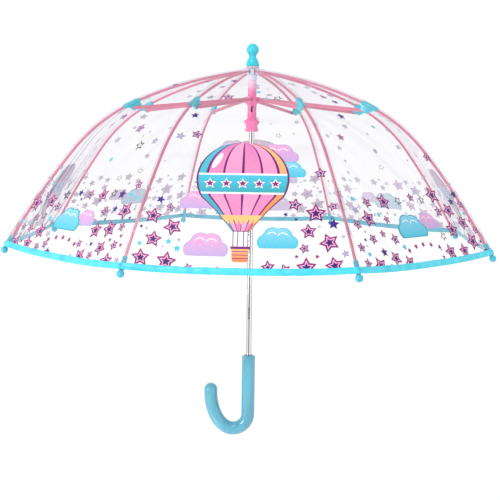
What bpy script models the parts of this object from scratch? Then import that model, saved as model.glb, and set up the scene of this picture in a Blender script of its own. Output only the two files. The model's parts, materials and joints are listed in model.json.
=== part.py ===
"""Children's dome umbrella: stick umbrella with eight ribs, a sliding runner and clear gores.

Metres, +Z up along the shaft, the front towards -Y and the crook of the handle towards -X.
The origin lies on the shaft's axis, in the middle of the straight grip of the handle.
"""

from math import atan2, cos, hypot, pi, radians, sin

import bmesh
import bpy
from mathutils import Matrix, Vector

# ---- Driving dimensions ----------------------------------------------------------------
RIB_COUNT = 8
RIB_TURN = 2 * pi / RIB_COUNT
FIRST_RIB_TURN = radians(-90.0) + RIB_TURN / 2
GAP = 0.0003              # clearance between pieces that touch

# A rib is four arcs that run smoothly on. Each bend is a distance along the rib from its
# pivot at the notch, and the slope there in degrees below horizontal. It ends in the ball tip,
# 0.35 m out from the shaft's axis.
RIB_BENDS = ((0.0, 7.9), (0.163, 23.3), (0.190, 29.4), (0.280, 50.8), (0.4429, 59.3))
RIB_LENGTH = RIB_BENDS[-1][0]
NOTCH_PIVOT_R = 0.0076
CROWN_SLOPE = radians(RIB_BENDS[0][1])
ROD_R = 0.0018
ROD_START = 0.0066        # notch pivot to the rod behind the rib's flat eye
BRACKET_PLACE = 0.1765    # notch pivot to the middle of a bracket, along the rib
BRACKET_LENGTH = 0.025
BRACKET_BORE_R = 0.00235  # clears the rod's bend inside it
BRACKET_WALL_R = 0.0032
INNER_END = BRACKET_PLACE + BRACKET_LENGTH / 2
FLEX_GAP = 0.0004
FLEX_PLACE = INNER_END + FLEX_GAP + ROD_R

# Heights, from the handle up.
GRIP_LENGTH = 0.0900
Z_HANDLE_TOP = 0.0415     # the frame's origin is inside the grip, near its middle
Z_NOTCH = Z_HANDLE_TOP + 0.4159

# Stretchers, which lie beside the ribs so that they can pass them.
RUNNER_PIVOT_R = 0.0084
Z_RUNNER = Z_NOTCH - 0.0396
STRETCHER_SIDE = 0.0046   # from the rib's plane to the stretcher's plane
STRETCHER_THICK = 0.0020
STRETCHER_TALL = 0.0038
LUG_DROP = 0.0070         # rib axis to the pivot of the stretcher on the bracket

# Pivots moulded into the notch and the runner.
PIN_R = 0.00065
EYE_HOLE_R = 0.0010
EYE_R = 0.0019
BLADE_THICK = 0.0018
BLADE_TALL = 0.0032
BLADE_END = 0.0100        # pivot to the end of the blade inside the rod
SLOT_WIDTH = 0.0026

# Shaft and the hubs on it.
SHAFT_R = 0.0040
SHAFT_BORE_R = 0.0034
HUB_BORE_R = SHAFT_R + GAP
Z_SHAFT_TOP = Z_NOTCH + 0.0240
NECK_R = 0.0064
NECK_LENGTH = 0.0125
CROWN_R = 0.0100
CROWN_TOP = 0.0030
CROWN_BOTTOM = -0.0040
RUNNER_TUBE_R = 0.0061
RUNNER_BOTTOM = -0.0462   # from the stretcher pivot
RUNNER_CROWN_R = 0.0120
RUNNER_PROFILE = (        # (radius, height from the stretcher pivot): crown, tube, flange, grip
    (0.0120, -0.0030), (0.0090, -0.0062), (0.0064, -0.0080), (0.0064, -0.0275), (0.0100, -0.0292),
    (0.0117, -0.0305), (0.0117, -0.0330), (0.0090, -0.0362), (0.0084, -0.0382), (0.0088, -0.0402),
    (0.0095, -0.0430), (0.0095, -0.0454),
)

# Spring catches in the shaft, and the runner's window that they stand in.
CATCH_THICK = 0.0012
CATCH_SLOT_WIDTH = 0.0020
CATCH_NOSE_PLACE = 0.01125  # pivot to the foot of the nose
CATCH_PIN_LENGTH = 0.0074
CATCH_NOSE = 0.0032
CATCH_REACH = 0.0057
WINDOW_MIDDLE = -0.0140   # from the stretcher pivot
WINDOW_TALL = 0.0086
WINDOW_WIDTH = 0.0032
RUNNER_TRAVEL = 0.3007

# Film gores.
FILM_THICK = 0.0003
FILM_OFFSET = 0.0042      # rib axis to the middle of the film
FILM_START_R = 0.0090
FILM_END_GAP = 0.0055     # hem to the middle of a ball tip, along the rib
FILM_STEPS = 15
SEAM_HALF_GAP = 0.00025

# Ball tips.
TIP_BALL_R = 0.0047
TIP_NECK_R = 0.0027
TIP_SLEEVE_R = 0.0031
TIP_BORE_R = 0.0025
TIP_LENGTH = 0.0215
TIP_BORE_END = 0.0020     # bore's end to the ball's middle
ROD_END_GAP = 0.0010      # bore's end to the rod's end

# Cap and washer above the film.
WASHER_R = 0.0100
WASHER_THICK = 0.0020
Z_WASHER = Z_NOTCH + FILM_OFFSET + FILM_THICK / 2 + GAP
Z_CAP = Z_WASHER + WASHER_THICK + GAP
CAP_HEIGHT = 0.0325
CAP_BASE_R = 0.0098
CAP_NECK_R = 0.0054
CAP_NECK_Z = 0.0146
CAP_BELL = ((0.0064, 0.0118), (0.0080, 0.0078), (0.0092, 0.0042))  # (radius, height) down the foot
CAP_FOOT_Z = 0.0012
CAP_BALL_R = 0.0090

# Crook handle: a straight grip, a quarter circle and a quarter ellipse.
HANDLE_R = 0.0101
HOOK_TURN_R = 0.0228
HOOK_WIDTH = 0.0330
HOOK_RISE = 0.0557
HOOK_END = 0.0035
HANDLE_BORE_DEPTH = 0.0600
SHAFT_IN_HANDLE = 0.0590

ROUND_STEPS = 24
SHARP_ANGLE = radians(35.0)

COLOURS = {
    "clear film": ((0.86, 0.90, 0.93), 0.08, 0.0),
    "cyan plastic": ((0.05, 0.62, 0.80), 0.30, 0.0),
    "turquoise plastic": ((0.12, 0.46, 0.62), 0.22, 0.0),
    "pink plastic": ((0.90, 0.16, 0.42), 0.35, 0.0),
    "pink rod": ((0.72, 0.20, 0.34), 0.40, 0.0),
    "white plastic": ((0.82, 0.84, 0.86), 0.35, 0.0),
    "chrome steel": ((0.75, 0.75, 0.76), 0.14, 1.0),
    "spring steel": ((0.42, 0.42, 0.43), 0.30, 1.0),
}


# ---- Scene helpers ---------------------------------------------------------------------
def clear_scene():
    for obj in list(bpy.data.objects):
        bpy.data.objects.remove(obj, do_unlink=True)
    for mesh in list(bpy.data.meshes):
        bpy.data.meshes.remove(mesh)
    for group in list(bpy.data.collections):
        bpy.data.collections.remove(group)


def make_collection(name):
    group = bpy.data.collections.new(name)
    bpy.context.scene.collection.children.link(group)
    return group


def make_material(name):
    colour, roughness, metallic = COLOURS[name]
    mat = bpy.data.materials.new(name)
    mat.use_nodes = True
    shader = mat.node_tree.nodes["Principled BSDF"]
    shader.inputs["Base Color"].default_value = (*colour, 1.0)
    shader.inputs["Roughness"].default_value = roughness
    shader.inputs["Metallic"].default_value = metallic
    if name == "clear film":
        shader.inputs["Alpha"].default_value = 0.25
    mat.diffuse_color = (*colour, 1.0)
    return mat


def add_object(name, mesh, group):
    obj = bpy.data.objects.new(name, mesh)
    group.objects.link(obj)
    return obj


def hide_tool(obj):
    obj.hide_render = True
    obj.display_type = "WIRE"
    return obj


def finished_mesh(obj, name):
    """The object's evaluated mesh in world space, with its loose caps welded."""
    bpy.context.view_layer.update()
    evaluated = obj.evaluated_get(bpy.context.evaluated_depsgraph_get())
    mesh = bpy.data.meshes.new_from_object(evaluated)
    mesh.transform(obj.matrix_world)
    bm = bmesh.new()
    bm.from_mesh(mesh)
    bmesh.ops.remove_doubles(bm, verts=bm.verts, dist=0.000005)
    bmesh.ops.recalc_face_normals(bm, faces=bm.faces)
    bm.to_mesh(mesh)
    bm.free()
    mesh.name = name
    return mesh


def shade(mesh):
    mesh.shade_smooth()
    mesh.set_sharp_from_angle(angle=SHARP_ANGLE)


def combine(name, base, tools):
    """Join or cut a list of (operation, object) pairs into base and return the mesh."""
    for number, (operation, tool) in enumerate(tools):
        cut = base.modifiers.new(f"{operation.lower()} {number}", "BOOLEAN")
        cut.operation = operation
        cut.solver = "EXACT"
        cut.object = tool
    mesh = finished_mesh(base, name)
    shade(mesh)
    return mesh


# ---- Shape helpers ---------------------------------------------------------------------
def turned(name, profile, group, steps=ROUND_STEPS):
    """A closed solid turned about Z from (radius, height) points, outer side top to bottom."""
    mesh = bpy.data.meshes.new(name)
    points = [(radius, 0.0, height) for radius, height in profile]
    on_axis = profile[0][0] == 0.0 and profile[-1][0] == 0.0
    edges = [(i, i + 1) for i in range(len(points) - 1)]
    if not on_axis:
        edges.append((len(points) - 1, 0))
    mesh.from_pydata(points, edges, [])
    obj = add_object(name, mesh, group)
    screw = obj.modifiers.new("turn", "SCREW")
    screw.steps = steps
    screw.render_steps = steps
    screw.use_merge_vertices = True
    screw.merge_threshold = 0.000005
    screw.use_smooth_shade = True
    screw.use_normal_calculate = True
    return obj


def cylinder(name, radius, length, middle, axis, group, segments=12):
    """A cylinder of the given length about a middle point, along X or Z."""
    mesh = bpy.data.meshes.new(name)
    bm = bmesh.new()
    cone = {"cap_ends": True, "segments": segments, "radius1": radius, "radius2": radius}
    bmesh.ops.create_cone(bm, depth=length, **cone)
    turn = Matrix.Rotation(pi / 2, 4, "Y") if axis == "X" else Matrix.Identity(4)
    bmesh.ops.transform(bm, matrix=Matrix.Translation(middle) @ turn, verts=bm.verts)
    bm.to_mesh(mesh)
    bm.free()
    return add_object(name, mesh, group)


def boxes(name, low, high, turns, group):
    """One box per angle in turns, each spun about Z from the corners low and high."""
    mesh = bpy.data.meshes.new(name)
    bm = bmesh.new()
    size = Vector(high) - Vector(low)
    middle = (Vector(high) + Vector(low)) / 2
    for turn in turns:
        made = bmesh.ops.create_cube(bm, size=1.0)
        place = Matrix.Rotation(turn, 4, "Z") @ Matrix.Translation(middle) @ Matrix.Diagonal((*size, 1.0))
        bmesh.ops.transform(bm, matrix=place, verts=made["verts"])
    bm.to_mesh(mesh)
    bm.free()
    return add_object(name, mesh, group)


def pins(name, radius, length, middle, turns, group):
    """Round pins along Y at a middle point, repeated about Z."""
    mesh = bpy.data.meshes.new(name)
    bm = bmesh.new()
    for turn in turns:
        cone = {"cap_ends": True, "segments": 10, "radius1": radius, "radius2": radius}
        made = bmesh.ops.create_cone(bm, depth=length, **cone)
        place = Matrix.Rotation(turn, 4, "Z") @ Matrix.Translation(middle) @ Matrix.Rotation(pi / 2, 4, "X")
        bmesh.ops.transform(bm, matrix=place, verts=made["verts"])
    bm.to_mesh(mesh)
    bm.free()
    return add_object(name, mesh, group)


def tube(name, points, radius, group, scales=None):
    """A round rod along points, its radius scaled at each point where scales is given."""
    curve = bpy.data.curves.new(name, "CURVE")
    curve.dimensions = "3D"
    curve.bevel_depth = radius
    curve.bevel_resolution = 2
    curve.use_fill_caps = True
    spline = curve.splines.new("POLY")
    spline.points.add(len(points) - 1)
    for number, point in enumerate(points):
        spline.points[number].co = (*point, 1.0)
        spline.points[number].radius = scales[number] if scales else 1.0
    return add_object(name, curve, group)


def plate(name, outlines, thickness, side, group):
    """A flat plate of (x, z) outlines, the first the rim and the rest holes, at y = side."""
    curve = bpy.data.curves.new(name, "CURVE")
    curve.dimensions = "2D"
    curve.fill_mode = "BOTH"
    curve.extrude = thickness / 2
    for outline in outlines:
        spline = curve.splines.new("POLY")
        spline.points.add(len(outline) - 1)
        spline.use_cyclic_u = True
        for number, (x, z) in enumerate(outline):
            spline.points[number].co = (x, z, 0.0, 1.0)
    obj = add_object(name, curve, group)
    obj.matrix_world = Matrix.Translation((0.0, side, 0.0)) @ Matrix.Rotation(pi / 2, 4, "X")
    return obj


def ring(middle, radius, count, start=0.0, sweep=2 * pi):
    """Points on an arc about a middle (x, z); a full turn leaves out its repeated point."""
    steps = count if sweep == 2 * pi else count - 1
    angles = [start + sweep * number / steps for number in range(count)]
    return [(middle[0] + radius * cos(a), middle[1] + radius * sin(a)) for a in angles]


# ---- Rib geometry ----------------------------------------------------------------------
def rib_arcs():
    """Each arc of the rib as (start, slope, bend per metre, x, z), from the notch pivot out."""
    arcs = []
    x = NOTCH_PIVOT_R
    z = Z_NOTCH
    for (start, low), (end, high) in zip(RIB_BENDS, RIB_BENDS[1:]):
        slope = radians(low)
        bend = (radians(high) - slope) / (end - start)
        arcs.append((start, slope, bend, x, z))
        x += (sin(radians(high)) - sin(slope)) / bend
        z += (cos(radians(high)) - cos(slope)) / bend
    return arcs


RIB_ARCS = rib_arcs()


def arc_at(along):
    return [arc for arc in RIB_ARCS if arc[0] <= max(along, 0.0)][-1]


def slope_of(along):
    """The rib's slope below horizontal at a distance along it."""
    start, slope, bend, _, _ = arc_at(along)
    return slope + bend * (along - start)


def rib_point(along, offset=0.0):
    """A point (x, z) of the rib's axis in its own plane, moved outward along its normal."""
    _, first, bend, x, z = arc_at(along)
    slope = slope_of(along)
    x += (sin(slope) - sin(first)) / bend + offset * sin(slope)
    z += (cos(slope) - cos(first)) / bend + offset * cos(slope)
    return x, z


def rod_points(first, last, count, origin):
    """Points of the rib between two distances, from an (x, z) origin in the rib's plane."""
    points = []
    for number in range(count):
        x, z = rib_point(first + (last - first) * number / (count - 1))
        points.append((x - origin[0], 0.0, z - origin[1]))
    return points


# ---- Repeated meshes, each in its own joint's frame -------------------------------------
def rib_inner_mesh(group, tools):
    pivot = rib_point(0.0)
    rod = tube("rib_inner_rod", rod_points(ROD_START, INNER_END, 8, pivot), ROD_R, group)
    rim = ring((0.0, 0.0), EYE_R, 9, radians(60.0), radians(240.0))
    rim += [(BLADE_END, -BLADE_TALL / 2), (BLADE_END, BLADE_TALL / 2)]
    blade = plate("rib_blade", [rim, ring((0.0, 0.0), EYE_HOLE_R, 12)], BLADE_THICK, 0.0, tools)
    blade.matrix_world = Matrix.Rotation(CROWN_SLOPE, 4, "Y") @ blade.matrix_world
    base = add_object("rib_inner_base", finished_mesh(rod, "rib_inner_base"), group)
    tool = hide_tool(add_object("rib_blade_mesh", finished_mesh(blade, "rib_blade_mesh"), tools))
    mesh = combine("rib_inner", base, [("UNION", tool)])
    for obj in (rod, base, blade):
        bpy.data.objects.remove(obj)
    return mesh


def rib_outer_mesh(group):
    pivot = rib_point(FLEX_PLACE)
    points = []
    scales = []
    for turn in (86.0, 65.0, 40.0, 20.0):
        x, z = rib_point(FLEX_PLACE - ROD_R * sin(radians(turn)))
        points.append((x - pivot[0], 0.0, z - pivot[1]))
        scales.append(cos(radians(turn)))
    rod = rod_points(FLEX_PLACE, RIB_LENGTH - TIP_BORE_END - ROD_END_GAP, 12, pivot)
    points += rod
    scales += [1.0] * len(rod)
    obj = tube("rib_outer_rod", points, ROD_R, group, scales)
    mesh = finished_mesh(obj, "rib_outer")
    bpy.data.objects.remove(obj)
    shade(mesh)
    return mesh


def lay_along_rib(along, pivot):
    """Matrix that lays an X-axis piece along the rib at a distance, from an (x, z) origin."""
    x, z = rib_point(along)
    return Matrix.Translation((x - pivot[0], 0.0, z - pivot[1])) @ Matrix.Rotation(slope_of(along), 4, "Y")


def rib_tip_mesh(group):
    """A ball with a tapered sleeve behind it, turned about Z and then laid along the rib."""
    ball = [(TIP_BALL_R * sin(radians(a)), TIP_BALL_R * cos(radians(a))) for a in range(0, 141, 20)]
    profile = ball + [(TIP_NECK_R, -TIP_BALL_R * 1.02), (TIP_SLEEVE_R, -TIP_BALL_R * 1.35)]
    profile += [(TIP_SLEEVE_R, -TIP_LENGTH + 0.0010), (TIP_SLEEVE_R - 0.0003, -TIP_LENGTH)]
    profile += [(TIP_BORE_R, -TIP_LENGTH), (TIP_BORE_R, -TIP_BORE_END), (0.0, -TIP_BORE_END)]
    obj = turned("rib_tip_form", profile, group, 12)
    pivot = rib_point(FLEX_PLACE)
    obj.matrix_world = lay_along_rib(RIB_LENGTH, pivot) @ Matrix.Rotation(pi / 2, 4, "Y")
    mesh = finished_mesh(obj, "rib_tip")
    bpy.data.objects.remove(obj)
    shade(mesh)
    return mesh


def bracket_mesh(group, tools):
    """A sleeve on the rib with a lug that faces the stretcher."""
    half = BRACKET_LENGTH / 2
    wall = BRACKET_WALL_R
    taper = 0.0006
    lead = 0.0030
    profile = [(wall - taper, half), (wall, half - lead), (wall, lead - half), (wall - taper, -half)]
    profile += [(BRACKET_BORE_R, -half), (BRACKET_BORE_R, half)]
    sleeve = turned("bracket_sleeve", profile, group, 12)
    pivot = rib_point(0.0)
    sleeve.matrix_world = lay_along_rib(BRACKET_PLACE, pivot) @ Matrix.Rotation(pi / 2, 4, "Y")
    base = add_object("bracket_base", finished_mesh(sleeve, "bracket_base"), group)
    lug_end = 0.0029
    lug_side = 0.0011
    lug_thick = 0.0042
    top = -BRACKET_BORE_R - 0.0004
    outline = [(0.0085, top), (-0.0085, top), (-0.0060, -0.0040)]
    outline += ring((-0.0010, -LUG_DROP), lug_end, 9, radians(170.0), radians(200.0))
    outline.append((0.0060, -0.0036))
    lug = plate("bracket_lug", [outline], lug_thick, lug_side, tools)
    lug.matrix_world = lay_along_rib(BRACKET_PLACE, pivot) @ lug.matrix_world
    tool = hide_tool(add_object("bracket_lug_mesh", finished_mesh(lug, "bracket_lug_mesh"), tools))
    mesh = combine("bracket", base, [("UNION", tool)])
    for obj in (sleeve, base, lug):
        bpy.data.objects.remove(obj)
    return mesh


def stretcher_ends():
    """The two pivots of a stretcher, as (x, z) in the rib's plane."""
    x, z = rib_point(BRACKET_PLACE, -LUG_DROP)
    return (RUNNER_PIVOT_R, Z_RUNNER), (x, z)


def stretcher_mesh(tools):
    near, far = stretcher_ends()
    length = hypot(far[0] - near[0], far[1] - near[1])
    fall = atan2(near[1] - far[1], far[0] - near[0])
    half = STRETCHER_TALL / 2
    rim = ring((0.0, 0.0), EYE_R, 9, radians(90.0), radians(180.0))
    rim += [(0.0060, -half), (length - 0.0060, -half)]
    rim += ring((length, 0.0), EYE_R, 9, radians(-90.0), radians(180.0))
    rim += [(length - 0.0060, half), (0.0060, half)]
    eye = ring((0.0, 0.0), EYE_HOLE_R, 12)
    obj = plate("stretcher_bar", [rim, eye], STRETCHER_THICK, STRETCHER_SIDE, tools)
    obj.matrix_world = Matrix.Rotation(fall, 4, "Y") @ obj.matrix_world
    mesh = finished_mesh(obj, "stretcher")
    bpy.data.objects.remove(obj)
    shade(mesh)
    return mesh


def gore_mesh(group):
    """The film between one rib and the next: straight across, curved along the ribs."""
    pivot = rib_point(FLEX_PLACE)
    first = FILM_START_R - NOTCH_PIVOT_R
    last = RIB_LENGTH - FILM_END_GAP
    mesh = bpy.data.meshes.new("gore")
    bm = bmesh.new()
    rows = []
    for number in range(FILM_STEPS + 1):
        x, z = rib_point(first + (last - first) * number / FILM_STEPS, FILM_OFFSET)
        near = Vector((x, 0.0, z))
        far = Matrix.Rotation(RIB_TURN, 3, "Z") @ near
        trim = (far - near).normalized() * (SEAM_HALF_GAP / cos(RIB_TURN / 2))
        origin = Vector((pivot[0], 0.0, pivot[1]))
        rows.append((bm.verts.new(near + trim - origin), bm.verts.new(far - trim - origin)))
    for upper, lower in zip(rows, rows[1:]):
        bm.faces.new((upper[0], lower[0], lower[1], upper[1]))
    bm.to_mesh(mesh)
    bm.free()
    obj = add_object("gore_form", mesh, group)
    solid = obj.modifiers.new("film", "SOLIDIFY")
    solid.thickness = FILM_THICK
    solid.offset = 0.0
    solid.use_even_offset = True
    result = finished_mesh(obj, "gore")
    bpy.data.objects.remove(obj)
    shade(result)
    return result


# ---- Single pieces ---------------------------------------------------------------------
def catch_pivot_heights():
    """Heights of the two catch pivots: the upper one below its nose, the lower one above."""
    top_nose = Z_RUNNER + WINDOW_MIDDLE
    bottom_nose = top_nose - RUNNER_TRAVEL
    return top_nose - CATCH_NOSE_PLACE, bottom_nose + CATCH_NOSE_PLACE


def build_shaft(group, tools):
    bottom = Z_HANDLE_TOP - SHAFT_IN_HANDLE
    profile = [(SHAFT_R - 0.0004, Z_SHAFT_TOP), (SHAFT_R, Z_SHAFT_TOP - 0.0004), (SHAFT_R, bottom)]
    profile += [(SHAFT_BORE_R, bottom), (SHAFT_BORE_R, Z_SHAFT_TOP)]
    form = turned("shaft_form", profile, group, 24)
    base = add_object("shaft_base", finished_mesh(form, "shaft_base"), group)
    steps = []
    slot_tall = CATCH_NOSE_PLACE + 0.0070
    half = CATCH_SLOT_WIDTH / 2
    for number, height in enumerate(catch_pivot_heights()):
        towards_nose = 1 if number == 0 else -1
        low = min(height, height + towards_nose * slot_tall)
        high = low + slot_tall
        slot = boxes(f"catch_slot_{number}", (-half, -0.0060, low), (half, 0.0, high), [0.0], tools)
        middle = (0.0, 0.0, height)
        pin = cylinder(f"catch_pin_{number}", PIN_R, CATCH_PIN_LENGTH, middle, "X", tools, 10)
        steps += [("DIFFERENCE", hide_tool(slot)), ("UNION", hide_tool(pin))]
    mesh = combine("shaft", base, steps)
    bpy.data.objects.remove(form)
    bpy.data.objects.remove(base)
    return add_object("shaft", mesh, group)


def build_notch(group, tools):
    chamfer = 0.0006
    profile = [(CROWN_R - chamfer, CROWN_TOP), (CROWN_R, CROWN_TOP - chamfer)]
    profile += [(CROWN_R, CROWN_BOTTOM + chamfer), (CROWN_R - chamfer, CROWN_BOTTOM)]
    profile += [(NECK_R, CROWN_BOTTOM), (NECK_R, -NECK_LENGTH)]
    profile += [(HUB_BORE_R, -NECK_LENGTH), (HUB_BORE_R, CROWN_TOP)]
    form = turned("notch_form", profile, group)
    base = add_object("notch_base", finished_mesh(form, "notch_base"), group)
    turns = [FIRST_RIB_TURN + number * RIB_TURN for number in range(RIB_COUNT)]
    half = SLOT_WIDTH / 2
    floor = NOTCH_PIVOT_R - EYE_R - GAP
    slot_low = (floor, -half, CROWN_BOTTOM - 0.0010)
    slot_high = (CROWN_R + 0.0040, half, EYE_R + GAP)
    slots = boxes("notch_slots", slot_low, slot_high, turns, tools)
    posts = pins("notch_pins", PIN_R, SLOT_WIDTH + 0.0010, (NOTCH_PIVOT_R, 0.0, 0.0), turns, tools)
    mesh = combine("top_notch", base, [("DIFFERENCE", hide_tool(slots)), ("UNION", hide_tool(posts))])
    bpy.data.objects.remove(form)
    bpy.data.objects.remove(base)
    obj = add_object("top_notch", mesh, group)
    obj.location = (0.0, 0.0, Z_NOTCH)
    return obj


def build_runner(group, tools):
    """A sleeve with a slotted crown for the stretchers and a flared grip at the bottom."""
    top = Z_NOTCH - NECK_LENGTH - GAP - Z_RUNNER
    chamfer = 0.0005
    profile = [(RUNNER_TUBE_R - chamfer, top), (RUNNER_TUBE_R, top - chamfer), (RUNNER_TUBE_R, 0.0030)]
    profile += [(RUNNER_CROWN_R - chamfer, 0.0030), (RUNNER_CROWN_R, 0.0030 - chamfer)]
    profile += [*RUNNER_PROFILE, (0.0092, RUNNER_BOTTOM)]
    profile += [(HUB_BORE_R, RUNNER_BOTTOM), (HUB_BORE_R, top)]
    form = turned("runner_form", profile, group)
    base = add_object("runner_base", finished_mesh(form, "runner_base"), group)
    turns = [FIRST_RIB_TURN + number * RIB_TURN for number in range(RIB_COUNT)]
    low_side = STRETCHER_SIDE - SLOT_WIDTH / 2
    high_side = STRETCHER_SIDE + SLOT_WIDTH / 2
    floor = RUNNER_PIVOT_R - EYE_R - GAP
    slots = boxes("runner_slots", (floor, low_side, -0.0033), (0.0160, high_side, 0.0060), turns, tools)
    pin_middle = (RUNNER_PIVOT_R, STRETCHER_SIDE, 0.0)
    posts = pins("runner_pins", PIN_R, SLOT_WIDTH + 0.0008, pin_middle, turns, tools)
    half = WINDOW_WIDTH / 2
    window_low = (-half, -0.0100, WINDOW_MIDDLE - WINDOW_TALL / 2)
    window_high = (half, -0.0010, WINDOW_MIDDLE + WINDOW_TALL / 2)
    window = boxes("runner_window", window_low, window_high, [0.0], tools)
    steps = [("DIFFERENCE", hide_tool(slots)), ("UNION", hide_tool(posts))]
    steps.append(("DIFFERENCE", hide_tool(window)))
    mesh = combine("runner", base, steps)
    bpy.data.objects.remove(form)
    bpy.data.objects.remove(base)
    obj = add_object("runner", mesh, group)
    obj.location = (0.0, 0.0, Z_RUNNER)
    return obj


def build_catch(name, height, towards_nose, group, tools):
    """A leaf inside the shaft whose nose stands out through the slot, towards -Y."""
    foot = EYE_R * 0.95
    reach = CATCH_NOSE_PLACE
    outline = ring((0.0, 0.0), foot, 9, radians(180.0), radians(180.0))
    outline += [(foot, reach - 0.0060), (CATCH_REACH, reach), (CATCH_REACH, reach + CATCH_NOSE)]
    outline += [(-0.0004, reach + CATCH_NOSE), (-foot, reach - 0.0020)]
    outline = [(x, z * towards_nose) for x, z in outline]
    obj = plate(name + "_leaf", [outline, ring((0.0, 0.0), EYE_HOLE_R, 12)], CATCH_THICK, 0.0, tools)
    obj.matrix_world = Matrix.Rotation(-pi / 2, 4, "Z") @ obj.matrix_world
    mesh = finished_mesh(obj, name)
    bpy.data.objects.remove(obj)
    catch = add_object(name, mesh, group)
    catch.location = (0.0, 0.0, height)
    return catch


def build_cap(group):
    """The cyan cap: a flared base, a narrow neck and a ball, hollow over the shaft's end."""
    ball_z = CAP_HEIGHT - CAP_BALL_R
    turns = [radians(a) for a in range(0, 131, 26)]
    profile = [(CAP_BALL_R * sin(a), ball_z + CAP_BALL_R * cos(a)) for a in turns]
    profile += [(CAP_NECK_R, CAP_NECK_Z), *CAP_BELL, (CAP_BASE_R, CAP_FOOT_Z), (CAP_BASE_R, 0.0)]
    bore_top = Z_SHAFT_TOP + GAP - Z_CAP
    profile += [(HUB_BORE_R, 0.0), (HUB_BORE_R, bore_top), (0.0, bore_top)]
    form = turned("cap_form", profile, group)
    mesh = finished_mesh(form, "ferrule_cap")
    bpy.data.objects.remove(form)
    shade(mesh)
    obj = add_object("ferrule_cap", mesh, group)
    obj.location = (0.0, 0.0, Z_CAP)
    return obj


def build_washer(group):
    profile = [(WASHER_R - 0.0003, WASHER_THICK), (WASHER_R, WASHER_THICK - 0.0003), (WASHER_R, 0.0)]
    profile += [(HUB_BORE_R, 0.0), (HUB_BORE_R, WASHER_THICK)]
    form = turned("washer_form", profile, group)
    mesh = finished_mesh(form, "canopy_washer")
    bpy.data.objects.remove(form)
    shade(mesh)
    obj = add_object("canopy_washer", mesh, group)
    obj.location = (0.0, 0.0, Z_WASHER)
    return obj


def handle_path():
    """Centreline points and radius scales from the handle's top to its rounded tip."""
    points = [(0.0, 0.0, 0.0), (0.0, 0.0, -0.0007), (0.0, 0.0, -0.0025), (0.0, 0.0, -GRIP_LENGTH)]
    scales = [0.84, 0.95, 1.0, 1.0]
    turn_steps = 6
    for number in range(1, turn_steps + 1):
        a = pi / 2 * number / turn_steps
        points.append((-HOOK_TURN_R * (1 - cos(a)), 0.0, -GRIP_LENGTH - HOOK_TURN_R * sin(a)))
        scales.append(1.0)
    sweep_steps = 8
    for number in range(1, sweep_steps + 1):
        a = pi / 2 * number / sweep_steps
        x = -HOOK_TURN_R - HOOK_WIDTH * sin(a)
        z = -GRIP_LENGTH - HOOK_TURN_R + HOOK_RISE * (1 - cos(a))
        points.append((x, 0.0, z))
        scales.append(1.0)
    tip_x = -HOOK_TURN_R - HOOK_WIDTH
    tip_z = -GRIP_LENGTH - HOOK_TURN_R + HOOK_RISE + HOOK_END
    for turn in (0.0, 22.0, 42.0, 60.0, 74.0, 84.0):
        points.append((tip_x, 0.0, tip_z + HANDLE_R * sin(radians(turn))))
        scales.append(cos(radians(turn)))
    return points, scales


def build_handle(group, tools):
    points, scales = handle_path()
    curve = tube("handle_path", points, HANDLE_R, group, scales)
    curve.data.bevel_resolution = 4
    base = add_object("handle_base", finished_mesh(curve, "handle_base"), group)
    bore = cylinder("handle_bore", HUB_BORE_R, 2 * HANDLE_BORE_DEPTH, (0.0, 0.0, 0.0), "Z", tools, 24)
    mesh = combine("handle", base, [("DIFFERENCE", hide_tool(bore))])
    bpy.data.objects.remove(curve)
    bpy.data.objects.remove(base)
    obj = add_object("handle", mesh, group)
    obj.location = (0.0, 0.0, Z_HANDLE_TOP)
    return obj


# ---- Assembly --------------------------------------------------------------------------
def place_around(kind, mesh, material, pivot, group):
    """Eight copies of a mesh, each turned about the shaft, with its origin on its joint."""
    for number in range(RIB_COUNT):
        turn = FIRST_RIB_TURN + number * RIB_TURN
        copy = mesh.copy()
        copy.materials.clear()
        copy.materials.append(material)
        obj = add_object(f"{kind}_{number + 1}", copy, group)
        spin = Matrix.Rotation(turn, 4, "Z")
        obj.location = spin @ Vector((pivot[0], 0.0, pivot[1]))
        obj.rotation_euler = (0.0, 0.0, turn)
    bpy.data.meshes.remove(mesh)


def main():
    clear_scene()
    group = make_collection("childrens_umbrella")
    tools = make_collection("cutters")
    mats = {name: make_material(name) for name in COLOURS}

    top_height, bottom_height = catch_pivot_heights()
    single = [
        (build_shaft(group, tools), "chrome steel"),
        (build_handle(group, tools), "turquoise plastic"),
        (build_notch(group, tools), "white plastic"),
        (build_cap(group), "cyan plastic"),
        (build_washer(group), "cyan plastic"),
        (build_runner(group, tools), "pink plastic"),
        (build_catch("top_catch", top_height, 1, group, tools), "spring steel"),
        (build_catch("bottom_catch", bottom_height, -1, group, tools), "spring steel"),
    ]
    for obj, material in single:
        obj.data.materials.clear()
        obj.data.materials.append(mats[material])

    notch = rib_point(0.0)
    flex = rib_point(FLEX_PLACE)
    near, _ = stretcher_ends()
    place_around("rib_inner", rib_inner_mesh(group, tools), mats["pink rod"], notch, group)
    place_around("bracket", bracket_mesh(group, tools), mats["cyan plastic"], notch, group)
    place_around("rib_outer", rib_outer_mesh(group), mats["pink rod"], flex, group)
    place_around("rib_tip", rib_tip_mesh(group), mats["cyan plastic"], flex, group)
    place_around("stretcher", stretcher_mesh(tools), mats["pink rod"], near, group)
    place_around("gore", gore_mesh(group), mats["clear film"], flex, group)


main()
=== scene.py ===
"""Looks of the children's dome umbrella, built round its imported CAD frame. Metres, +Z up."""

import json
import random
from math import atan2, cos, hypot, pi, radians, sin, sqrt

import bmesh
import bpy
import numpy as np
from mathutils import Matrix, Vector


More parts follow.
